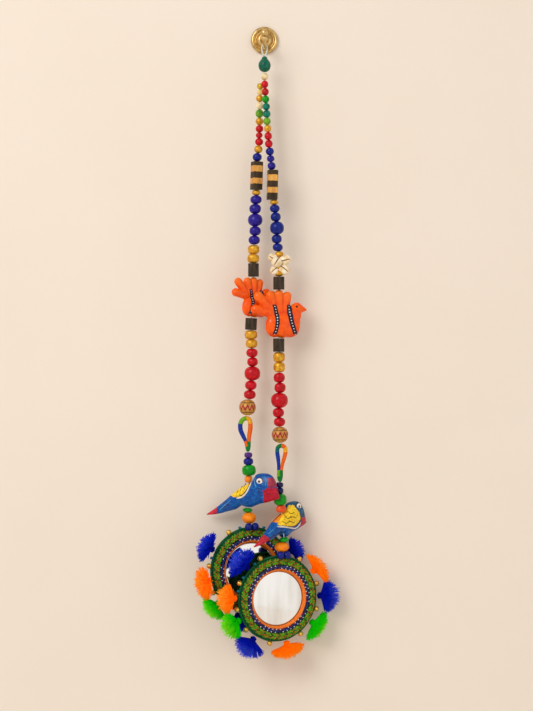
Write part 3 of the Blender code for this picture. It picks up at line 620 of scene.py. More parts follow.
dark_tint = dark_paint.mix(tone(72, 56, 34), tone(26, 19, 10), dark_grain.held(0.36, 0.6))
worn = dark_paint.node("ShaderNodeNewGeometry", {}, {}, 7)
dark_tint = dark_paint.mix(dark_tint, tone(128, 100, 66), worn.held(0.52, 0.62) * 0.7)
oiled = dark_paint.finish(dark_tint, 0.36 + dark_grain * 0.25, dark_grain, 0.00015, Coat_Weight=0.2)


def cut_stick(shell, sides, radius, half, edge):
    """A many-sided stick with its corners and ends rubbed round, and a thread hole at both ends."""
    step = 2.0 * math.pi / sides
    flat = radius * math.cos(step / 2.0)
    levels = []
    for k in range(5):
        t = math.pi / 2.0 * k / 4
        levels.append((half - edge + edge * math.cos(t), radius - edge + edge * math.sin(t)))
    levels = [(half - 1.2, 0.9), (half - 0.2, 1.1), (half, 1.6), (half, radius - edge * 1.4)] + levels
    levels += [(half - edge - (half - edge) * k / 5.0, radius) for k in range(1, 6)]
    levels += [(-rise, out) for rise, out in reversed(levels[:-1])]
    rings = []
    for rise, out in levels:
        share = out / radius
        ring = []
        for t in turns(sides * 14):
            straight = flat / math.cos(t % step - step / 2.0)
            reach = share * (straight - max(0.0, straight - radius * 0.945) * 0.75)
            spot = Vector((math.cos(t) * 2.0, math.sin(t) * 2.0, rise * 0.25 + radius))
            reach *= 1.0 + 0.008 * noise.noise(spot)
            ring.append((reach * math.cos(t), reach * math.sin(t), rise))
        rings.append(ring)
    shell.rings(rings)


for table, sides, edge, material, slot in (
    (BLOCKS, 4, 0.55, banded, "striped_wood"),
    (HEXES, 6, 0.8, oiled, "dark_wood"),
):
    for node, ((x, y, z, across, tall), turn, lean) in table.items():
        stick = Shell()
        cut_stick(stick, sides, across / (math.sqrt(2.0) if sides == 4 else 2.0), tall / 2.0, edge)
        place = Matrix.Translation(Vector((x, y, z)) * MM)
        place = place @ Matrix.Rotation(math.radians(lean), 4, "Y")
        place = place @ Matrix.Rotation(math.radians(turn), 4, "Z")
        stick.piece(f"{node}_cut", [material], slot, place, nodes=(node,))

# Painted beads. A gold-brown bead on each thread has a crimson zigzag brushed round its belly between
# two thin dark lines.
PAINTED = {
    "left_painted_bead": (
    (-18.3, -26.8, -393.9, -411.0, 18.0, 'ochre'),
    ),
    "right_painted_bead": (
    (16.8, -32.9, -423.2, -440.4, 17.8, 'ochre'),
    ),
}
zig_paint = Paint("zigzag_wood")
right, deep, high = zig_paint.axes()
turn = zig_paint.node("ShaderNodeMath", {"operation": "ARCTAN2"}, {0: right, 1: deep})
fold = zig_paint.node("ShaderNodeMath", {"operation": "PINGPONG"}, {0: turn * 1.75, 1: 0.5})
shaky = (zig_paint.cloud(500.0) - 0.5) * 0.0012
off_zig = abs(high + shaky - (fold - 0.25) * 0.0112)
zig = 1.0 - off_zig.held(0.0013, 0.0017)
ring_line = 1.0 - abs(abs(high + shaky) - 0.0052).held(0.0003, 0.0006)
patina = zig_paint.cloud(380.0, 4.0, 0.65)
brown = zig_paint.mix(tone(214, 160, 74), tone(140, 88, 34), patina.held(0.38, 0.66))
brown = zig_paint.mix(brown, tone(70, 30, 20), ring_line * 0.8)
zig_tint = zig_paint.mix(brown, tone(168, 16, 44), zig)
zigzagged = zig_paint.finish(zig_tint, 0.4 + patina * 0.15, zig, 0.0001, Metallic=0.2, Coat_Weight=0.2)
for node, ((x, y, top, bottom, across, colour),) in PAINTED.items():
    bead = Shell()
    half = (top - bottom) / 2.0
    turned_bead(bead, 0.0, 0.0, half, -half, across, 2.2, sides=48)
    place = Matrix.Translation(Vector((x, y, (top + bottom) / 2.0)) * MM)
    bead.piece(f"{node}_turned", [zigzagged], "painted_wood", place, nodes=(node,))

# Cowries. Five small shells, bored and tied with their slits outward, stand round a short column of
# gilt beads; ivory with a tan flush, the slit toothed, with brown painted in its groove as the shade of the
# opening.
COLUMN = (
    (15.3, -30.0, -240.2, -247.3, 5.4, 'gold'),
    (15.1, -30.0, -247.3, -254.1, 6.9, 'gold'),
    (15.7, -30.1, -254.1, -260.7, 10.6, 'gold'),
)
# Each shell: its middle, the way that its slit runs, its length and its width
COWRIES = (
    (8.6, -31.5, -240.6, -0.8, -0.2, 0.5, 10.4, 6.5),
    (12.9, -34.6, -246.0, -0.5, -0.3, -0.8, 10.3, 8.0),
    (22.4, -31.0, -243.1, 0.9, -0.2, 0.2, 13.2, 7.3),
    (21.3, -31.6, -253.7, 0.8, -0.2, -0.6, 12.1, 7.3),
    (10.3, -32.0, -254.9, -0.7, -0.3, -0.6, 9.3, 6.5),
)
shell_paint = Paint("cowrie_shell")
flush = shell_paint.cloud(200.0, 3.0)
shell_tint = shell_paint.mix(tone(250, 240, 216), tone(226, 190, 128), flush.held(0.4, 0.68))
ivory = shell_paint.finish(shell_tint, 0.22, flush, 0.00005, Coat_Weight=0.2)
# Painted shade: the bottom of each slit's groove gets a brown that stands for the shade inside the opening.
slit_paint = Paint("cowrie_slit")
slit_tint = slit_paint.mix(tone(176, 128, 74), tone(116, 72, 36), slit_paint.cloud(900.0))
slit_painted_shade = slit_paint.finish(slit_tint, 0.6)
COLUMN_ACROSS = 14.5
column = Shell()
for x, y, top, bottom, across, colour in COLUMN:
    turned_bead(column, x, y, top, bottom, across, 2.3)
for x, y, z, lx, ly, lz, length, width in COWRIES:
    along = Vector((lx, ly, lz)).normalized()
    outward = Vector((0.25 * (x - COLUMN_ACROSS), -4.0, 0.0)).normalized()
    outward = (outward - along * along.dot(Vector((0.0, -1.0, 0.0)))).normalized()
    outward = (outward - along * outward.dot(along)).normalized()
    aside = outward.cross(along)
    rings = []
    count = 56
    for i in range(27):
        t = math.pi * (0.02 + 0.96 * i / 26)
        run = -math.cos(t)
        girth = math.sin(t) ** 0.62 * (1.0 - 0.12 * run) * 1.1
        ring = []
        for s in turns(count):
            a = math.cos(s) * girth
            b = math.sin(s) * girth * 0.82
            if math.sin(s) > 0.0:
                open_share = max(0.0, 1.0 - run ** 6)
                b -= 0.3 * math.exp(-((a + 0.05 * run) / 0.07) ** 2) * open_share
                b += 0.10 * math.exp(-((abs(a) - 0.26) / 0.12) ** 2) * open_share
                b += 0.04 * math.sin(run * 34.0) * math.exp(-((abs(a) - 0.17) / 0.1) ** 2) * open_share
            spot = Vector((x, y, z)) + along * (run * length * 0.47)
            spot += aside * (a * width * 0.66)
            spot += outward * (b * width * 0.6)
            ring.append(tuple(spot))
        rings.append(ring)
    first = len(column.faces)
    column.rings(rings, mark=1)
    # the faces along the groove's bottom take the painted shade
    for i in range(4, 22):
        for k in range(count // 4 - 1, count // 4 + 1):
            column.marks[first + i * count + k] = 2
column.piece("right_cowrie_ring", [bead_paint("gold"), ivory, slit_painted_shade], "shell", nodes=("right_cowries",))

# Birds. Each is carved from one flat piece of wood with five rounded tail feathers, dipped in orange lacquer
# and striped in navy with white dots; the feather grooves are painted redder as shade, the ridges and top
# paler as highlight.
BIRDS = {
    "left_bird": ((-12.7, -24.3, -284.0), -29.0, -3.0, 0.835),
    "right_bird": ((15.4, -30.3, -302.5), -13.0, 0.0, 1.0),
}
# Lumps of the carving: a line from point to point with a radius at both ends, and how flat it is
LUMPS = (
    ((-4.5, -14.0), (-4.0, -10.0), 10.2, 10.6, 0.66),
    ((4.0, -14.0), (4.0, -8.0), 11.0, 12.4, 0.66),
    ((12.4, -13.2), (13.2, -5.0), 11.2, 11.0, 0.64),
    ((16.0, 0.0), (19.6, 7.0), 9.2, 6.6, 0.76),
    ((20.0, 7.6), (30.0, 5.7), 6.2, 1.3, 0.8),
    ((0.0, 4.0), (1.0, 15.0), 9.5, 7.6, 0.4),
    ((-7.0, 2.0), (-13.0, 12.0), 8.0, 6.6, 0.4),
    ((-11.0, 2.2), (-25.6, 5.8), 4.8, 5.4, 0.92),
    ((-9.0, 5.5), (-22.4, 19.6), 4.8, 5.4, 0.92),
    ((-4.6, 5.0), (-9.0, 21.0), 4.8, 5.4, 0.95),
    ((1.0, 5.0), (0.3, 22.0), 4.6, 5.2, 0.98),
    ((6.8, 4.0), (9.4, 20.6), 4.6, 4.9, 0.95),
)
lacquer = Paint("orange_lacquer")
across_bird, depth_bird, up_bird = lacquer.axes()
# the two stripes bend a little, so their middles are worked out from the height
stripe_one = across_bird - (-0.00275 - (up_bird + 0.0055) * (up_bird + 0.0055) * 12.0)
stripe_two = across_bird - (0.0107 + (up_bird - 0.0095) * (up_bird - 0.0095) * 7.5)
uneven = (lacquer.cloud(420.0) - 0.5) * 0.0012
beat = lacquer.node("ShaderNodeMath", {"operation": "PINGPONG"}, {0: up_bird + 0.03, 1: 0.0015})
inside = up_bird.held(-0.0215, -0.0205) * (1.0 - up_bird.held(0.0105, 0.0115))
navy_share = None
dot_share = None
for off, wide in ((stripe_one, 0.0023), (stripe_two, 0.0028)):
    share = (1.0 - (abs(off) + uneven).held(wide - 0.0002, wide + 0.0002)) * inside
    dot = 1.0 - ((off * off + beat * beat) ** 0.5).held(0.0005, 0.0007)
    dot = dot * inside
    navy_share = share if navy_share is None else navy_share.most(share)
    dot_share = dot if dot_share is None else dot_share.most(dot)
ridge = lacquer.node("ShaderNodeNewGeometry", {}, {}, 7)
coat_patch = lacquer.cloud(160.0, 4.0, 0.6)
bird_tint = lacquer.mix(tone(252, 96, 0), tone(232, 66, 0), coat_patch.held(0.4, 0.68))
# Painted shade: the grooves and hollows between the feathers turn a redder orange.
bird_tint = lacquer.mix(bird_tint, tone(182, 26, 0), 1.0 - ridge.held(0.38, 0.5))
# Painted highlight: the ridges and the top of the bird turn a paler orange.
painted_highlight = ridge.held(0.53, 0.62) * 0.6 + up_bird.held(0.012, 0.028) * 0.4
bird_tint = lacquer.mix(bird_tint, tone(255, 152, 40), painted_highlight)
bird_tint = lacquer.mix(bird_tint, tone(10, 14, 48), navy_share)
bird_tint = lacquer.mix(bird_tint, tone(246, 240, 226), dot_share)
# Painted shade: a dark dot where the eye's dimple lies, which is not carved.
off_eye = across_bird - 0.0190
off_brow = up_bird - 0.0090
eye_gap = (off_eye * off_eye + off_brow * off_brow) ** 0.5
bird_tint = lacquer.mix(bird_tint, tone(30, 14, 10), 1.0 - eye_gap.held(0.0010, 0.0014))
lacquered = lacquer.finish(
    bird_tint, 0.22 + coat_patch * 0.14, navy_share + dot_share + coat_patch * 0.5, 0.00015,
    Coat_Weight=0.2, Coat_Roughness=0.08,
)


def moulded(name, shell, grain, rounds):
    """Melts overlapping lumps into one skin and eases it."""
    mesh = bpy.data.meshes.new(f"{name}_lumps")
    mesh.from_pydata([tuple(corner) for corner in shell.corners], [], shell.faces)
    lumps = bpy.data.objects.new(f"{name}_lumps", mesh)
    bpy.context.collection.objects.link(lumps)
    melt = lumps.modifiers.new("melt", "REMESH")
    melt.mode = "VOXEL"
    melt.voxel_size = grain
    ease = lumps.modifiers.new("ease", "SMOOTH")
    ease.factor = 0.5
    ease.iterations = rounds
    whole = lumps.evaluated_get(bpy.context.evaluated_depsgraph_get()).to_mesh()
    shell.corners = [tuple(v.co) for v in whole.vertices]
    shell.faces = [tuple(face.vertices) for face in whole.polygons]
    shell.marks = [0] * len(shell.faces)
    lumps.to_mesh_clear()
    bpy.data.objects.remove(lumps)


carving = Shell()
for start, end, wide, narrow, flat in LUMPS:
    for k in range(15):
        s = k / 14.0
        radius = wide + (narrow - wide) * s
        u = start[0] + (end[0] - start[0]) * s
        v = start[1] + (end[1] - start[1]) * s
        rings = []
        for i in range(11):
            t = math.pi * (0.02 + 0.96 * i / 10)
            girth = radius * math.sin(t)
            rings.append([
                (u + girth * math.cos(q), girth * flat * math.sin(q), v + radius * math.cos(t))
                for q in turns(20)
            ])
        carving.rings(rings)
moulded("bird", carving, 0.6, 5)
for node, (spot, yaw, roll, grade) in BIRDS.items():
    place = Matrix.Translation(Vector(spot) * MM) @ Matrix.Rotation(math.radians(-yaw), 4, "Z")
    place = place @ Matrix.Rotation(math.radians(-roll), 4, "Y") @ Matrix.Scale(grade, 4)
    carving.piece(f"{node}_carved", [lacquered], "orange_lacquer", place, nodes=(node,))

# Threads. One waxed cotton thread runs through each strand's beads, down to the painted bead, and another
# from the wound loop down to the mirror; they show only where two beads stand a little apart.
for side in ("left", "right"):
    threaded = [row for node, run in RUNS.items() if node.startswith(side) for row in run[2]]
    threaded += PAINTED[f"{side}_painted_bead"]
    if side == "right":
        threaded += COLUMN
    threaded.sort(key=lambda row: -row[2])
    last_above = PAINTED[f"{side}_painted_bead"][0][2]
    for label, part in (
        ("upper", [row for row in threaded if row[2] >= last_above]),
        ("lower", [row for row in threaded if row[2] < last_above]),
    ):
        path = [(x, y, (top + bottom) / 2.0) for x, y, top, bottom, across, colour in part]
        path = [(0.2, -26.8, -48.5)] * (label == "upper") + path
        thread = Shell()
        thread.rings(sweep(path, [0.55] * len(path), 8))
        thread.piece(f"{side}_thread_{label}", [cotton], "white_cord")

# Wound loops. On each strand a doubled cord is wound over closely with coloured thread, which changes
# along the way, and closes in a loop between the painted bead and the beads of the neck.
LOOPS = {
    "left_cord_loop": ((
    (-19.6, -27.3, -414.2, 2.5),
    (-23.7, -27.3, -416.0, 2.6),
    (-26.0, -27.5, -420.4, 2.6),
    (-25.8, -27.8, -426.9, 2.6),
    (-23.9, -28.0, -433.0, 2.4),
    (-21.5, -28.2, -438.8, 1.8),
    (-19.8, -28.4, -444.6, 1.5),
    (-17.9, -28.6, -448.7, 1.5),
    (-16.1, -28.4, -445.0, 1.5),
    (-16.3, -28.2, -439.2, 1.8),
    (-16.3, -28.0, -432.7, 2.4),
    (-15.4, -27.7, -426.0, 2.6),
    (-15.3, -27.5, -420.0, 2.6),
    (-16.5, -27.3, -415.7, 2.6),
    ), (1, 1, 2, 2, 2, 4, 3, 3, 3, 4, 4, 4, 0, 0)),
    "right_cord_loop": ((
    (18.3, -33.2, -443.5, 2.4),
    (14.5, -33.3, -445.6, 2.3),
    (13.8, -33.5, -450.4, 2.3),
    (14.6, -33.7, -456.4, 2.3),
    (15.2, -34.0, -462.4, 2.0),
    (15.0, -34.2, -469.7, 1.7),
    (14.8, -34.5, -476.8, 1.6),
    (16.7, -34.7, -480.7, 1.5),
    (18.7, -34.5, -476.8, 1.6),
    (18.8, -34.2, -469.7, 1.7),
    (19.7, -34.0, -462.4, 2.0),
    (21.4, -33.7, -456.4, 2.3),
    (22.7, -33.5, -450.4, 2.3),
    (22.0, -33.3, -445.6, 2.3),
    ), (3, 5, 2, 2, 2, 1, 3, 3, 3, 4, 4, 4, 0, 4)),
}


def thread_paint(name, light, deep, coarse=700.0, rough=0.8):
    paint = Paint(name)
    fibre = paint.cloud(coarse, 4.0, 0.65)
    tint = paint.mix(tone(*light), tone(*deep), fibre.held(0.38, 0.66))
    return paint.finish(tint, rough, paint.cloud(coarse * 3.0, 2.0), 0.00012)


winds = [
    thread_paint("wind_yellow", (250, 190, 50), (206, 130, 16), 1300.0),
    thread_paint("wind_lime", (130, 190, 40), (60, 130, 20), 1300.0),
    thread_paint("wind_blue", (30, 66, 180), (8, 22, 104), 1300.0),
    thread_paint("wind_green", (20, 140, 60), (0, 82, 32), 1300.0),
    thread_paint("wind_orange", (250, 120, 36), (204, 66, 10), 1300.0),
    thread_paint("wind_teal", (10, 120, 120), (0, 66, 76), 1300.0),
]
for node, (rows, colours) in LOOPS.items():
    winding = Shell()
    foot = min(row[2] for row in rows)
    middle = sum(row[0] for row in rows[6:9]) / 3.0
    closed_rows = []
    for x, y, z, girth in rows:
        pinch = max(0.0, 1.0 - (z - foot) / 17.0)
        drawn = middle + (x - middle) * (1.0 - 0.42 * pinch ** 0.5)
        closed_rows.append((drawn, y, z, girth * (1.0 + 0.3 * pinch)))
    path = curved(closed_rows, 18, closed=True)
    spots = [Vector(p[:3]) for p in path]
    run = 0.0
    radii = []
    for i, spot in enumerate(spots):
        radii.append(path[i][3] * 0.96 + 0.14 * math.sin(run * 2.0 * math.pi / 0.95))
        run += (spots[(i + 1) % len(spots)] - spot).length
    rings = sweep(spots, radii, 18, closed=True)
    first = len(winding.faces)
    winding.rings(rings, closed=True)
    for i in range(len(rings)):
        for k in range(18):
            winding.marks[first + i * 18 + k] = colours[i // 18]
    winding.piece(f"{node}_wound", winds, "wrapped_thread", nodes=(node,))

# Parrots. Each is carved in the round from one piece of wood, with a flat tail and a hooked beak, primed and
# painted by brush: blue body, yellow wing with brown scallops, white trim, red tip and beak, white eye.
PARROT_SECTIONS = (
    (-51.1, -37.0, -50.2, -38.1, 1.0),
    (-39.4, -29.4, -37.4, -36.4, 2.6),
    (-28.1, -21.0, -25.7, -33.2, 4.0),
    (-20.0, -14.2, -15.7, -30.4, 5.6),
    (-12.9, -8.9, -8.6, -26.1, 7.0),
    (-6.5, -5.2, -2.9, -27.1, 7.8),
    (0.0, -1.9, 3.4, -27.3, 8.2),
    (5.2, 0.4, 9.2, -25.0, 8.0),
    (9.9, 8.1, 14.9, -22.9, 7.6),
    (18.9, 9.7, 21.5, -21.6, 7.2),
    (26.5, 8.1, 28.1, -19.5, 6.0),
    (31.2, 2.4, 33.5, -18.0, 4.2),
    (33.1, -6.5, 37.1, -16.4, 2.2),
)
PARROTS = {
    "left_parrot": ((-17.1, -30.5, -482.7), 26.0, 0.0, 1.0),
    "right_parrot": ((18.1, -36.2, -515.1), -45.0, 3.0, 0.84),
}
# Painted fields, read from the front: across and up from the thread, and the paint of each
FIELDS = {
    "left_parrot": (
        ("yellow", ((-23.8, -14.1), (-22.6, 1.1), (6.5, 17.3), (4.3, 5.3), (2.4, 1.0), (-1.0, -6.7),
            (-5.6, -13.4), (-10.4, -16.8), (-19.0, -16.6))),
        ("rose", ((22.1, 4.9), (31.6, 5.7), (33.4, -4.4), (23.3, -5.3))),
        ("crimson", ((17.2, -7.6), (23.3, -5.4), (30.8, -5.1), (38.8, -7.4), (38.8, -18.1),
            (31.6, -19.4), (18.0, -22.1))),
        ("tip", ((-59.7, -27.6), (-39.2, -27.3), (-38.0, -40.9), (-59.7, -44.1))),
    ),
    "right_parrot": (
        ("teal", ((3.6, 18.3), (45.7, 13.4), (44.3, -14.0), (28.5, -12.0), (27.9, -1.9), (19.4, 6.5),
            (4.6, 8.4))),
        ("orange", ((-5.1, 1.5), (7.5, 4.8), (0.9, -4.1), (-4.0, -9.4), (-23.8, -8.5))),
        ("yellow", ((11.6, 6.7), (19.4, 6.5), (27.9, -1.9), (29.3, -9.9), (21.5, -15.9),
            (11.6, -15.8), (-7.2, -11.7), (-1.5, -4.9), (5.8, 1.8))),
        ("yellow", ((-7.2, 5.5), (-2.7, 1.2), (-20.8, -10.0), (-29.8, -8.8))),
        ("crimson", ((31.1, -7.9), (44.5, -9.6), (37.3, -25.2), (27.2, -22.8))),
        ("tip", ((-62.5, -10.9), (-31.8, -18.7), (-20.0, -24.0), (-18.8, -29.6), (-31.4, -38.5),
            (-64.1, -42.3))),
    ),
}
# Brush lines: paint, width, and the points that each runs through
LINES = {
    "left_parrot": (
        ("white", 1.7, ((5.2, 5.8), (3.6, 0.3), (0.8, -5.2), (-3.5, -12.2), (-8.7, -16.3), (-14.8, -17.9))),
        ("brown", 0.9, ((2.4, 3.1), (0.5, -3.4), (-3.1, -9.0), (-8.0, -14.0), (-15.3, -15.7))),
        ("brown", 0.7, ((-3.1, -0.9), (-6.2, -6.9))),
        ("brown", 0.7, ((-7.6, -4.6), (-10.4, -10.3))),
        ("brown", 0.7, ((-12.1, -8.2), (-14.3, -12.7))),
        ("sky", 0.9, ((19.2, 6.3), (21.3, 2.3), (20.0, -2.9))),
        ("sky", 0.7, ((8.2, 5.3), (7.2, 0.0), (8.9, -4.6))),
        ("brown", 0.7, ((10.6, -5.9), (13.1, -10.5), (13.6, -15.9))),
        ("sky", 0.8, ((-21.4, -20.0), (-30.0, -26.9), (-35.6, -32.0))),
        ("brown", 0.8, ((-23.8, -23.7), (-31.2, -30.3))),
        ("brown", 0.7, ((18.5, -7.7), (23.9, -11.8), (31.1, -13.0))),
    ),
    "right_parrot": (
        ("white", 1.7, ((29.4, -12.8), (26.1, -16.5), (20.3, -18.9), (12.6, -16.7), (3.4, -14.6),
            (-7.3, -13.4))),
        ("brown", 0.8, ((28.3, -3.2), (29.3, -9.9), (21.9, -15.5), (11.6, -15.3), (0.4, -12.7))),
        ("brown", 0.7, ((8.9, 2.5), (14.1, -2.0), (20.4, -1.1))),
        ("brown", 0.7, ((4.0, -2.3), (9.4, -6.7), (15.7, -5.3), (22.4, -7.9))),
        ("brown", 0.7, ((0.7, -8.0), (6.7, -11.1), (13.0, -9.8), (19.0, -12.7))),
        ("brown", 0.7, ((5.1, 3.8), (-2.1, -2.1), (-14.7, -9.0))),
        ("sky", 0.8, ((13.9, -20.6), (-0.9, -22.9), (-16.4, -26.0))),
        ("sky", 0.7, ((-12.0, -15.8), (-21.3, -20.0))),
        ("brown", 0.7, ((3.2, -19.1), (-9.3, -21.8), (-21.6, -24.2))),
    ),
}
EYES = {"left_parrot": (12.9, 1.3), "right_parrot": (27.5, 4.0)}


def brush_paint(name, light, deep, mark=None, stretch=(0.5, 1.0, 1.0)):
    """A coat of brushed paint with its strokes and painted shade in the hollows; mark is a third colour in
    fine flecks.
    """
    paint = Paint(name)
    stroke = paint.cloud(420.0, 4.0, 0.7, stretch)
    tint = paint.mix(tone(*light), tone(*deep), stroke.held(0.36, 0.66))
    if mark is not None:
        fleck = paint.cloud(760.0, 2.0, 0.5, stretch)
        tint = paint.mix(tint, tone(*mark), fleck.held(0.6, 0.66) * 0.8)
    # Painted shade: where the carving is hollow the paint turns to its deeper colour.
    ridge = paint.node("ShaderNodeNewGeometry", {}, {}, 7)
    tint = paint.mix(tint, tone(*deep), 1.0 - ridge.held(0.4, 0.5))
    return paint.finish(tint, 0.3 + stroke * 0.16, stroke, 0.00012, Coat_Weight=0.1, Coat_Roughness=0.1)


BRUSHED = {
    "blue": brush_paint("parrot_blue", (0, 92, 178), (0, 54, 126), (30, 128, 200)),
    "yellow": brush_paint("parrot_yellow", (255, 224, 50), (240, 186, 14), (120, 60, 10)),
    "orange": brush_paint("parrot_orange", (250, 158, 44), (214, 100, 16)),
    "crimson": brush_paint("parrot_crimson", (204, 22, 56), (140, 4, 30)),
    "rose": brush_paint("parrot_rose", (176, 58, 76), (120, 30, 60)),
    "tip": brush_paint("parrot_tip", (216, 48, 66), (150, 14, 36)),
    "teal": brush_paint("parrot_teal", (20, 96, 140), (4, 46, 84), (50, 140, 180)),
    "white": brush_paint("parrot_white", (244, 240, 232), (206, 198, 190)),
    "brown": brush_paint("parrot_brown", (90, 44, 20), (40, 18, 12)),
    "sky": brush_paint("parrot_sky", (110, 180, 222), (60, 130, 190)),
}
ORDER = list(BRUSHED)


def covers(field, u, v):
    """Whether the point lies inside the field's outline."""
    hit = False
    for (a, b), (c, d) in zip(field, field[1:] + field[:1]):
        if (b > v) != (d > v) and u < a + (c - a) * (v - b) / (d - b):
            hit = not hit
    return hit


for node, (spot, yaw, pitch, tail_share) in PARROTS.items():
    slope = math.tan(math.radians(yaw))
    sections = []
    for top_u, top_v, low_u, low_v, half in curved(PARROT_SECTIONS, 9):
        if top_u < 0.0:
            top_u, top_v = top_u * tail_share, top_v * tail_share
        if low_u < 0.0:
            low_u, low_v = low_u * tail_share, low_v * tail_share
        sections.append((Vector((top_u, top_v)), Vector((low_u, low_v)), half))
    carved = Shell()
    count = 56
    rings = []
    for top, low, half in sections:
        ring = []
        for t in turns(count):
            lift = (1.0 + math.cos(t)) / 2.0
            u, v = low.lerp(top, lift)
            chisel = 1.0 + 0.05 * noise.noise(Vector((u * 0.16, v * 0.16, math.sin(t) * 1.5 + yaw)))
            deep = half * abs(math.sin(t)) ** 0.86 * chisel
            ring.append((u, -deep if math.sin(t) > 0.0 else deep, v))
        rings.append(ring)
    carved.rings(rings)
    # the two far ends are drawn in to a blunt tip
    for ring, blunt, tail in ((rings[0], (-0.5, 0.0, -0.1), True), (rings[-1], (0.3, 0.0, -0.3), False)):
        middle = Vector((0.0, 0.0, 0.0))
        for corner in ring:
            middle += Vector(corner) / count
        inner = [tuple(middle.lerp(Vector(corner), 0.5) + Vector(blunt)) for corner in ring]
        carved.rings([inner, ring] if tail else [ring, inner])
    for number, face in enumerate(carved.faces):
        u = sum(carved.corners[i][0] for i in face) / len(face)
        deep = sum(abs(carved.corners[i][1]) for i in face) / len(face)
        v = sum(carved.corners[i][2] for i in face) / len(face)
        for paint, field in FIELDS[node]:
            if covers(list(field), u - deep * slope, v):
                carved.marks[number] = ORDER.index(paint)

    def on_skin(seen_u, v, over):
        """The place on the front of the carving that shows at a point of the photograph's plane."""
        u = seen_u
        deep = 0.0
        for _ in range(14):
            best = None
            for top, low, half in sections:
                chord = top - low
                lift = min(1.0, max(0.0, (Vector((u, v)) - low).dot(chord) / chord.length_squared))
                gap = (low + chord * lift - Vector((u, v))).length
                if best is None or gap < best[0]:
                    best = (gap, lift, half)
            deep = best[2] * max(0.0, 1.0 - (2.0 * best[1] - 1.0) ** 2) ** 0.43
            u = u * 0.4 + (seen_u + deep * slope) * 0.6
        return Vector((u, -deep - over, v))

    for paint, width, points in LINES[node]:
        for hand in (1.0, -1.0):
            line = [on_skin(u, v, 0.05) for u, v in curved(points, 5)]
            line = [Vector((p.x, p.y * hand, p.z)) for p in line]
            shares = [min(1.0, 0.35 + 4.0 * min(i, len(line) - 1 - i) / len(line)) for i in range(len(line))]
            carved.rings(sweep(line, [width * 0.5 * s for s in shares], 8), mark=ORDER.index(paint))
    if EYES[node] is not None:
        for hand in (1.0, -1.0):
            eye_at = on_skin(*EYES[node], 0.0)
            for radius, rise, paint in ((4.3, 0.25, "brown"), (3.8, 0.7, "white"), (1.8, 1.1, "brown")):
                dome = []
                for k in range(7):
                    t = math.pi / 2.0 * k / 6.0
                    dome.append([
                        (
                            eye_at.x + radius * math.cos(t) * math.cos(q),
                            (eye_at.y - rise * math.sin(t) + 0.35 * (1.0 - math.sin(t))) * hand,
                            eye_at.z + radius * math.cos(t) * math.sin(q),
                        )
                        for q in turns(26)
                    ])
                carved.rings(dome, mark=ORDER.index(paint))
    place = Matrix.Translation(Vector(spot) * MM) @ Matrix.Rotation(math.radians(-yaw), 4, "Z")
    place = place @ Matrix.Rotation(math.radians(-pitch), 4, "Y")
    carved.piece(f"{node}_carved", list(BRUSHED.values()), "parrot_paint", place, nodes=(node,))

# Round mirrors. Each glass lies in a shallow cup of green cloth stretched over card; its rim is worked over
# with two rows of slanting stitches in green, and an orange-brown thread zigzags on top of them.
MIRROR_TURN = math.radians(24.0)
MIRRORS = {"left": (-15.6, -31.0, -577.5), "right": (14.0, -38.5, -607.4)}
mirror_place = {}
for side, centre in MIRRORS.items():
    mirror_place[side] = Matrix.Translation(Vector(centre) * MM) @ Matrix.Rotation(MIRROR_TURN, 4, "Z")

glass_paint = Paint("silvered_glass")
dust = glass_paint.cloud(90.0, 4.0, 0.65)
# Painted reflection: long upright streaks darken the glass's colour, standing for a darker band of the room
# seen in it.
painted_reflection_streak = glass_paint.cloud(55.0, 2.0, 0.5, (1.0, 1.0, 0.15))
glass_tint = glass_paint.mix(tone(236, 234, 231), tone(212, 206, 198), painted_reflection_streak.held(0.42, 0.68))
silver = glass_paint.finish(glass_tint, 0.03 + dust.held(0.45, 0.8) * 0.16, Metallic=1.0)

cup_cloth = thread_paint("cup_cloth", (30, 92, 52), (8, 48, 30))
stitch_green = thread_paint("stitch_green", (92, 186, 34), (36, 118, 14))
stitch_dark = thread_paint("stitch_dark", (40, 120, 30), (8, 66, 20))
stitch_brown = thread_paint("stitch_brown", (206, 112, 34), (128, 58, 14))


def stitch(shell, start, end, girth, rise, sides=6, mark=0):
    """One padded stitch from point to point, arched toward the viewer, with both ends let in."""
    path = []
    radii = []
    for k in range(6):
        t = k / 5.0
        bow = math.sin(math.pi * t)
        path.append(Vector(start).lerp(Vector(end), t) + Vector((0.0, -rise * bow, 0.0)))
        radii.append(girth * (0.45 + 0.55 * bow ** 0.6))
    shell.rings(sweep(path, radii, sides), mark=mark)


def on_round(radius, turn, front):
    return (radius * math.cos(turn), -front, radius * math.sin(turn))


def round_ring(radius, front, count):
    return [on_round(radius, turn, front) for turn in turns(count)]


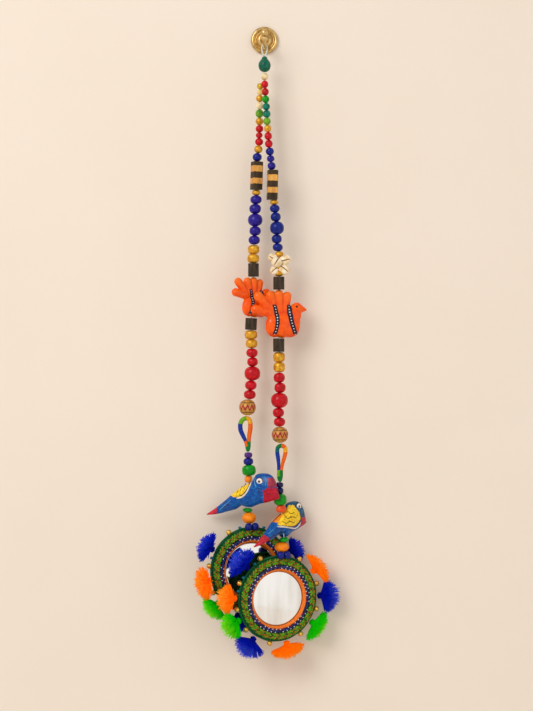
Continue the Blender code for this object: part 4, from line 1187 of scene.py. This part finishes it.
# Half outlines of the cup and the glass, from the back's middle round: radius and front
CUP = (
    (0.4, -2.0), (40.6, -2.0), (42.8, -1.6), (43.7, -0.2), (43.9, 1.6), (43.4, 3.2), (41.8, 4.1), (39.0, 4.3),
    (37.0, 3.9), (36.7, 2.0), (36.6, -0.9), (0.4, -0.9),
)
BEVEL = (
    (0.4, -0.85), (28.6, -0.85), (29.1, -0.3), (29.2, 0.4), (28.9, 0.75), (28.2, 0.9), (27.9, 0.92),
    (27.4, 0.93), (0.4, 0.95),
)
ROUND_STEPS = 96
STITCHES = 84
ZIGZAGS = 96
for side, place in mirror_place.items():
    rim = Shell()
    rim.rings([round_ring(r, front, ROUND_STEPS) for r, front in CUP])
    for row, (inner, outer, slant) in enumerate(((36.9, 40.4, 0.6), (40.0, 43.6, -0.6))):
        for k in range(STITCHES):
            turn = 2.0 * math.pi * (k + 0.5 * row) / STITCHES
            lag = slant * 2.0 * math.pi / STITCHES
            front = 3.7 if row == 0 else 3.4
            girth = 1.25 + 0.25 * noise.noise(Vector((k * 0.7, row, 3.0)))
            first = on_round(inner, turn - lag, front)
            last = on_round(outer, turn + lag, front - 0.9 * row)
            stitch(rim, first, last, girth, 0.9, mark=1 if (k + row) % 3 else 2)
    for inner, outer, front in ((37.4, 39.9, 5.2), (40.4, 42.9, 4.8)):
        zigzag = []
        for k in range(ZIGZAGS):
            turn = 2.0 * math.pi * (k + 0.2 * noise.noise(Vector((k, inner, 0.0)))) / ZIGZAGS
            zigzag.append(on_round(inner if k % 2 else outer, turn, front - (0.0 if k % 2 else 0.4)))
        zigzag = curved(zigzag, 3, closed=True)
        rim.rings(sweep(zigzag, [0.46] * len(zigzag), 6, closed=True), closed=True, mark=3)
    rim.piece(f"{side}_rim_braid", [cup_cloth, stitch_green, stitch_dark, stitch_brown], "braid", place,
              nodes=(f"{side}_mirror_frame",))

    mirror = Shell()
    mirror.rings([round_ring(r, front, ROUND_STEPS) for r, front in BEVEL])
    mirror.piece(f"{side}_glass_disc", [silver], "mirror", place, nodes=(f"{side}_mirror_glass",))

# Inside each rim a roll of orange cloth holds the glass down, and three rows of seed beads, picked up
# white, blue, red and navy as they came, are couched on round it.
roll_cloth = thread_paint("roll_cloth", (255, 142, 48), (206, 84, 20), 900.0, 0.75)


def seed_paint(name, light, deep):
    paint = Paint(name)
    swirl = paint.cloud(500.0, 3.0)
    return paint.finish(paint.mix(tone(*light), tone(*deep), swirl.held(0.35, 0.7)), 0.14, Coat_Weight=0.5)


SEEDS = (
    seed_paint("seed_navy", (22, 26, 96), (6, 8, 46)),
    seed_paint("seed_blue", (40, 84, 200), (16, 40, 140)),
    seed_paint("seed_white", (240, 238, 232), (206, 204, 206)),
    seed_paint("seed_red", (216, 30, 44), (140, 8, 24)),
)
# Each row of seed beads: radius, front, how many, and the order of their colours
SEED_ROWS = ((32.7, 4.6, 132, (4, 3, 1)), (34.2, 5.0, 138, (1, 2)), (35.7, 4.5, 144, (3, 1, 1)))
COLLAR = (
    (29.1, 1.0), (29.6, 2.0), (30.3, 3.2), (30.8, 4.5), (31.4, 5.1), (32.0, 4.6), (32.0, 1.2), (30.6, 0.9),
)
BAND = ((31.9, 4.2), (33.2, 4.6), (35.4, 4.6), (36.5, 4.1), (36.8, 2.0), (34.4, 1.0), (32.1, 1.4))
for side, place in mirror_place.items():
    pick = random.Random(31 if side == "left" else 47)
    rope = Shell()
    for profile in (COLLAR, BAND):
        loft = []
        for reach, front in profile:
            rumple = []
            for turn in turns(160):
                swell = 0.16 * noise.noise(Vector((math.cos(turn) * 12.0, math.sin(turn) * 12.0, reach)))
                rumple.append(on_round(reach + swell, turn, front + swell))
            loft.append(rumple)
        rope.rings(loft, closed=True, mark=0 if profile is COLLAR else 1)
    for radius, front, count, order in SEED_ROWS:
        for k in range(count):
            turn = 2.0 * math.pi * (k + pick.uniform(-0.12, 0.12)) / count
            spot = Vector(on_round(radius, turn, front))
            colour = order[k % len(order)]
            colour = pick.choice((colour, colour, colour, 1))
            grain = []
            for level in (-0.9, -0.45, 0.0, 0.45, 0.9):
                girth = 0.7 * math.sqrt(1.0 - level * level * 0.8)
                grain.append([
                    (spot.x + girth * math.cos(s), spot.y - 0.72 * level, spot.z + girth * math.sin(s))
                    for s in turns(7)
                ])
            rope.rings(grain, mark=colour)
    rope.piece(f"{side}_seed_rows", [roll_cloth, *SEEDS], "seed_beads", place, nodes=(f"{side}_bead_rope",))

# Round the outside runs a dark green bound cord, and between the tassels small brass bells are sewn
# to it, with a blue or teal knot beside some of them.
EDGE_RADIUS = 45.0
BELL_RADIUS = 48.3
BELL_LIP = 2.72
BELLS = {
    "left": (38.5, 119.0, 171.5, 209.5, 240.0, 274.0, 312.5, 357.0),
    "right": (17.5, 60.0, 113.0, 155.0, 191.5, 222.5, 259.5, 302.0, 341.5),
}
KNOTS = {"left": (72.0, 104.0, 160.0), "right": (79.0, 123.0, 146.0, 166.0)}
edge_thread = thread_paint("edge_thread", (24, 112, 62), (4, 54, 34), 1100.0)
knot_teal = thread_paint("knot_teal", (20, 130, 140), (6, 70, 110), 1100.0)
bell_paint = Paint("bell_brass")
bell_wear = bell_paint.cloud(600.0, 4.0)
bell_tint = bell_paint.mix(tone(246, 206, 96), tone(168, 112, 30), bell_wear.held(0.4, 0.72))
bell_metal = bell_paint.finish(bell_tint, 0.24 + bell_wear * 0.2, Metallic=0.9)


def seen_to_true(seen):
    """The angle on a round for an angle read off from in front of the wall."""
    t = math.radians(seen)
    return math.atan2(math.sin(t) * math.cos(MIRROR_TURN), math.cos(t))


def ball(shell, spot, radius, squash=1.0, sides=14, mark=0):
    rings = []
    for k in range(9):
        t = math.pi * (0.03 + 0.94 * k / 8)
        girth = radius * math.sin(t)
        rise = radius * squash * math.cos(t)
        rings.append([
            (spot[0] + girth * math.cos(s), spot[1] + girth * math.sin(s), spot[2] + rise)
            for s in turns(sides)
        ])
    shell.rings(rings, mark=mark)


for side, place in mirror_place.items():
    edge = Shell()
    twisted(edge, round_ring(EDGE_RADIUS, 0.0, 180), 1.7, 3, 64, closed=True)
    for seen in BELLS[side]:
        turn = seen_to_true(seen)
        spot = on_round(BELL_RADIUS, turn, 0.4)
        ball(edge, spot, 2.95, 1.0, 18, mark=1)
        outward = Vector((math.cos(turn), 0.0, math.sin(turn)))
        aside = Vector((-math.sin(turn), 0.0, math.cos(turn)))
        lip = []
        for s in turns(16):
            there = Vector(spot) + outward * 0.5 + aside * (BELL_LIP * math.cos(s))
            lip.append(tuple(there + Vector((0.0, BELL_LIP * math.sin(s), 0.0))))
        edge.rings(sweep(lip, [0.32] * 16, 6, closed=True), closed=True, mark=1)
        eye_path = [
            tuple(Vector(spot) - outward * (2.3 + 0.9 * math.cos(s)) + Vector((0.0, 0.9 * math.sin(s), 0.0)))
            for s in turns(12)
        ]
        edge.rings(sweep(eye_path, [0.35] * 12, 6, closed=True), closed=True, mark=1)
    for seen in KNOTS[side]:
        spot = on_round(BELL_RADIUS - 0.8, seen_to_true(seen), 1.2)
        ball(edge, spot, 1.9, 0.8, 12, mark=2)
    edge.piece(f"{side}_bell_cord", [edge_thread, bell_metal, knot_teal], "edging_cord", place,
               nodes=(f"{side}_edging",))

# Two blue beads, side by side on one thread, sit on the top of each round.
PAIR_LEVEL = 46.9
PAIR_FRONT = 6.3
PAIR_RADIUS = 4.2
PAIR_HALF = 3.8
for side, shift in (("left", -0.5), ("right", 4.6)):
    pair = Shell()
    for across in (-PAIR_HALF, PAIR_HALF):
        rings = []
        for k in range(17):
            t = math.pi * k / 16
            rise = math.cos(t)
            girth = max((1.0 - abs(rise * 0.985) ** 2.3) ** (1.0 / 2.3), 0.2)
            if k in (0, 16):
                rise *= 0.75
                girth = 0.16
            x = shift + across - PAIR_HALF * rise
            reach = PAIR_RADIUS * girth
            rings.append([
                (x, reach * math.sin(s) - PAIR_FRONT, PAIR_LEVEL + reach * math.cos(s)) for s in turns(28)
            ])
        pair.rings(rings)
    pair.piece(f"{side}_blue_beads_pair", [bead_paint("royal")], "blue_wood", mirror_place[side],
               nodes=(f"{side}_blue_pair",))

# Tassels. Each is a skein of wool laid through the edging cord, bound with its own thread into a short
# neck and cut, so that the ends stand out in a thick brush; its depths are painted darker as shade and its
# tips paler as highlight.
# Each wool: its colour, its darker colour painted as shade in the depths, its paler colour painted as
# highlight on the cut ends, and the strength of a painted glow that brightens it
YARNS = {
    "blue": ((4, 30, 222), (0, 6, 128), (50, 92, 244), 0.03),
    "orange": ((255, 132, 6), (255, 98, 0), (255, 164, 44), 0.22),
    "green": ((20, 230, 4), (6, 184, 2), (124, 242, 36), 0.07),
}
# Each tassel: its name, its angle seen from in front, how far it reaches from the round's middle,
# how wide and how thick its brush is, and how far it leans to the wall
TASSELS = {
    "left": (
        ("blue_left", 149.0, 66, 14, 7, 0), ("orange_left", 192.0, 66, 15, 7, -16),
        ("green_left", 225.0, 67, 13, 7, 0), ("blue_low", 255.0, 69, 13, 6, 0),
        ("orange_low", 293.0, 69, 13, 6, -4), ("green_right", 332.0, 66, 12, 5, -14),
        ("blue_right", 22.0, 66, 12, 5, -14), ("orange_high", 55.0, 62, 8, 5, 2),
    ),
    "right": (
        ("orange_right", 35.0, 65, 16, 7, -9), ("blue_right", 0.0, 71, 15, 7, -8),
        ("green_right", 323.0, 65, 15, 7, -4), ("orange_low", 281.5, 66, 16, 7, 0),
        ("blue_low", 238.0, 71, 15, 7, 0), ("green_left", 207.0, 70, 13, 7, 0),
        ("orange_left", 176.0, 70, 13, 7, 0), ("blue_left", 133.0, 71, 15, 7, 0),
    ),
}
TASSEL_ROOT = 47.3
NECK_LENGTH = 4.6
STRANDS = 480
GOLDEN_TURN = 2.399963
WIDEST_SWING = math.radians(74.0)
yarn_paints = {}
for colour, (body, deep, tip, painted_glow) in YARNS.items():
    paint = Paint(f"yarn_{colour}")
    along = paint.axes()[0]
    patch = paint.cloud(1300.0, 3.0, 0.7, (0.22, 1.0, 1.0))
    tint = paint.mix(tone(*body), tone(*deep), patch.held(0.4, 0.68))
    # Painted shade: the wool is darker near the neck, deep inside the brush.
    tint = paint.mix(tone(*deep), tint, along.held(0.003, 0.0095))
    # Painted highlight: the cut ends turn paler.
    tint = paint.mix(tint, tone(*tip), (along + patch * 0.006).held(0.0145, 0.0255) * 0.75)
    # Painted light: the wool glows faintly in its own colour to look brighter.
    yarn_paints[colour] = paint.finish(
        tint, 0.85, paint.cloud(2600.0, 2.0), 0.0001, Subsurface_Weight=0.5, Subsurface_Scale=0.002,
        Specular_IOR_Level=0.05, Emission_Color=tint, Emission_Strength=painted_glow,
    )

for side, tassels in TASSELS.items():
    turned = mirror_place[side].to_3x3()
    across = turned @ Vector((1.0, 0.0, 0.0))
    up = Vector((0.0, 0.0, 1.0))
    for label, seen, reach, spread, thick, lean in tassels:
        chance = random.Random(f"{side} {label}")
        t = seen_to_true(seen)
        straight = across * math.cos(t) + up * math.sin(t)
        outward = (straight * 24.0 + Vector((0.0, lean, 0.0))).normalized()
        aside = (across * -math.sin(t) + up * math.cos(t)).normalized()
        through = outward.cross(aside).normalized()
        aside = through.cross(outward)
        place = Matrix((outward, aside, through)).transposed().to_4x4()
        place.translation = Vector(MIRRORS[side]) * MM + straight * (TASSEL_ROOT * MM)
        fall = place.to_3x3().transposed() @ Vector((0.0, 0.0, -1.0))
        length = reach - TASSEL_ROOT
        skein = Shell()
        for turn in range(4):
            level = 1.6 + 0.95 * turn
            girth = 1.0 - 0.05 * abs(turn - 1.5)
            wrap = [
                (level + 0.25 * math.sin(s), 3.1 * girth * math.cos(s), 2.6 * girth * math.sin(s))
                for s in turns(20)
            ]
            skein.rings(sweep(wrap, [0.62] * 20, 6, closed=True), closed=True)
        core = [(0.0, 0.4, 0.4), (0.2, 1.8, 1.5), (2.0, 2.8, 2.3), (NECK_LENGTH, 2.8, 2.3)]
        core.append((NECK_LENGTH + 2.0, 2.6, 2.2))
        skein.rings([[(x, a * math.cos(s), b * math.sin(s)) for s in turns(14)] for x, a, b in core])
        for n in range(STRANDS):
            share = math.sqrt((n + 0.5) / STRANDS)
            golden = n * GOLDEN_TURN
            u = share * math.cos(golden)
            v = share * math.sin(golden)
            swing = WIDEST_SWING * share
            cut = chance.uniform(0.92, 1.14) if n % 5 < 3 else chance.uniform(0.62, 0.98)
            ray = (length - NECK_LENGTH) * cut
            out = math.sin(swing) / max(share, 0.01)
            forth = NECK_LENGTH + ray * math.cos(swing)
            tip = Vector((forth, u * out * spread * 1.28, v * out * thick * 1.7))
            tip += fall * (1.6 * share * chance.random())
            tip += Vector([chance.gauss(0.0, 0.55) for _ in range(3)])
            root = Vector((NECK_LENGTH - 0.6, u * 2.5, v * 2.1))
            knee = Vector((NECK_LENGTH + 1.8, u * spread * 0.52, v * thick * 0.65))
            path = []
            for k in range(5):
                s = k / 4.0
                spot = root * (1.0 - s) ** 2 + knee * (2.0 * s * (1.0 - s)) + tip * (s * s)
                frizz = Vector([chance.gauss(0.0, 0.28) for _ in range(3)]) * (s if k < 4 else 0.6)
                path.append(spot + frizz)
            skein.rings(sweep(path, (0.46, 0.5, 0.5, 0.44, 0.3), 3))
        colour = label.split("_")[0]
        skein.piece(f"{side}_brush_{label}", [yarn_paints[colour]], f"{colour}_yarn", place,
                    nodes=(f"{side}_tassel_{label}",))
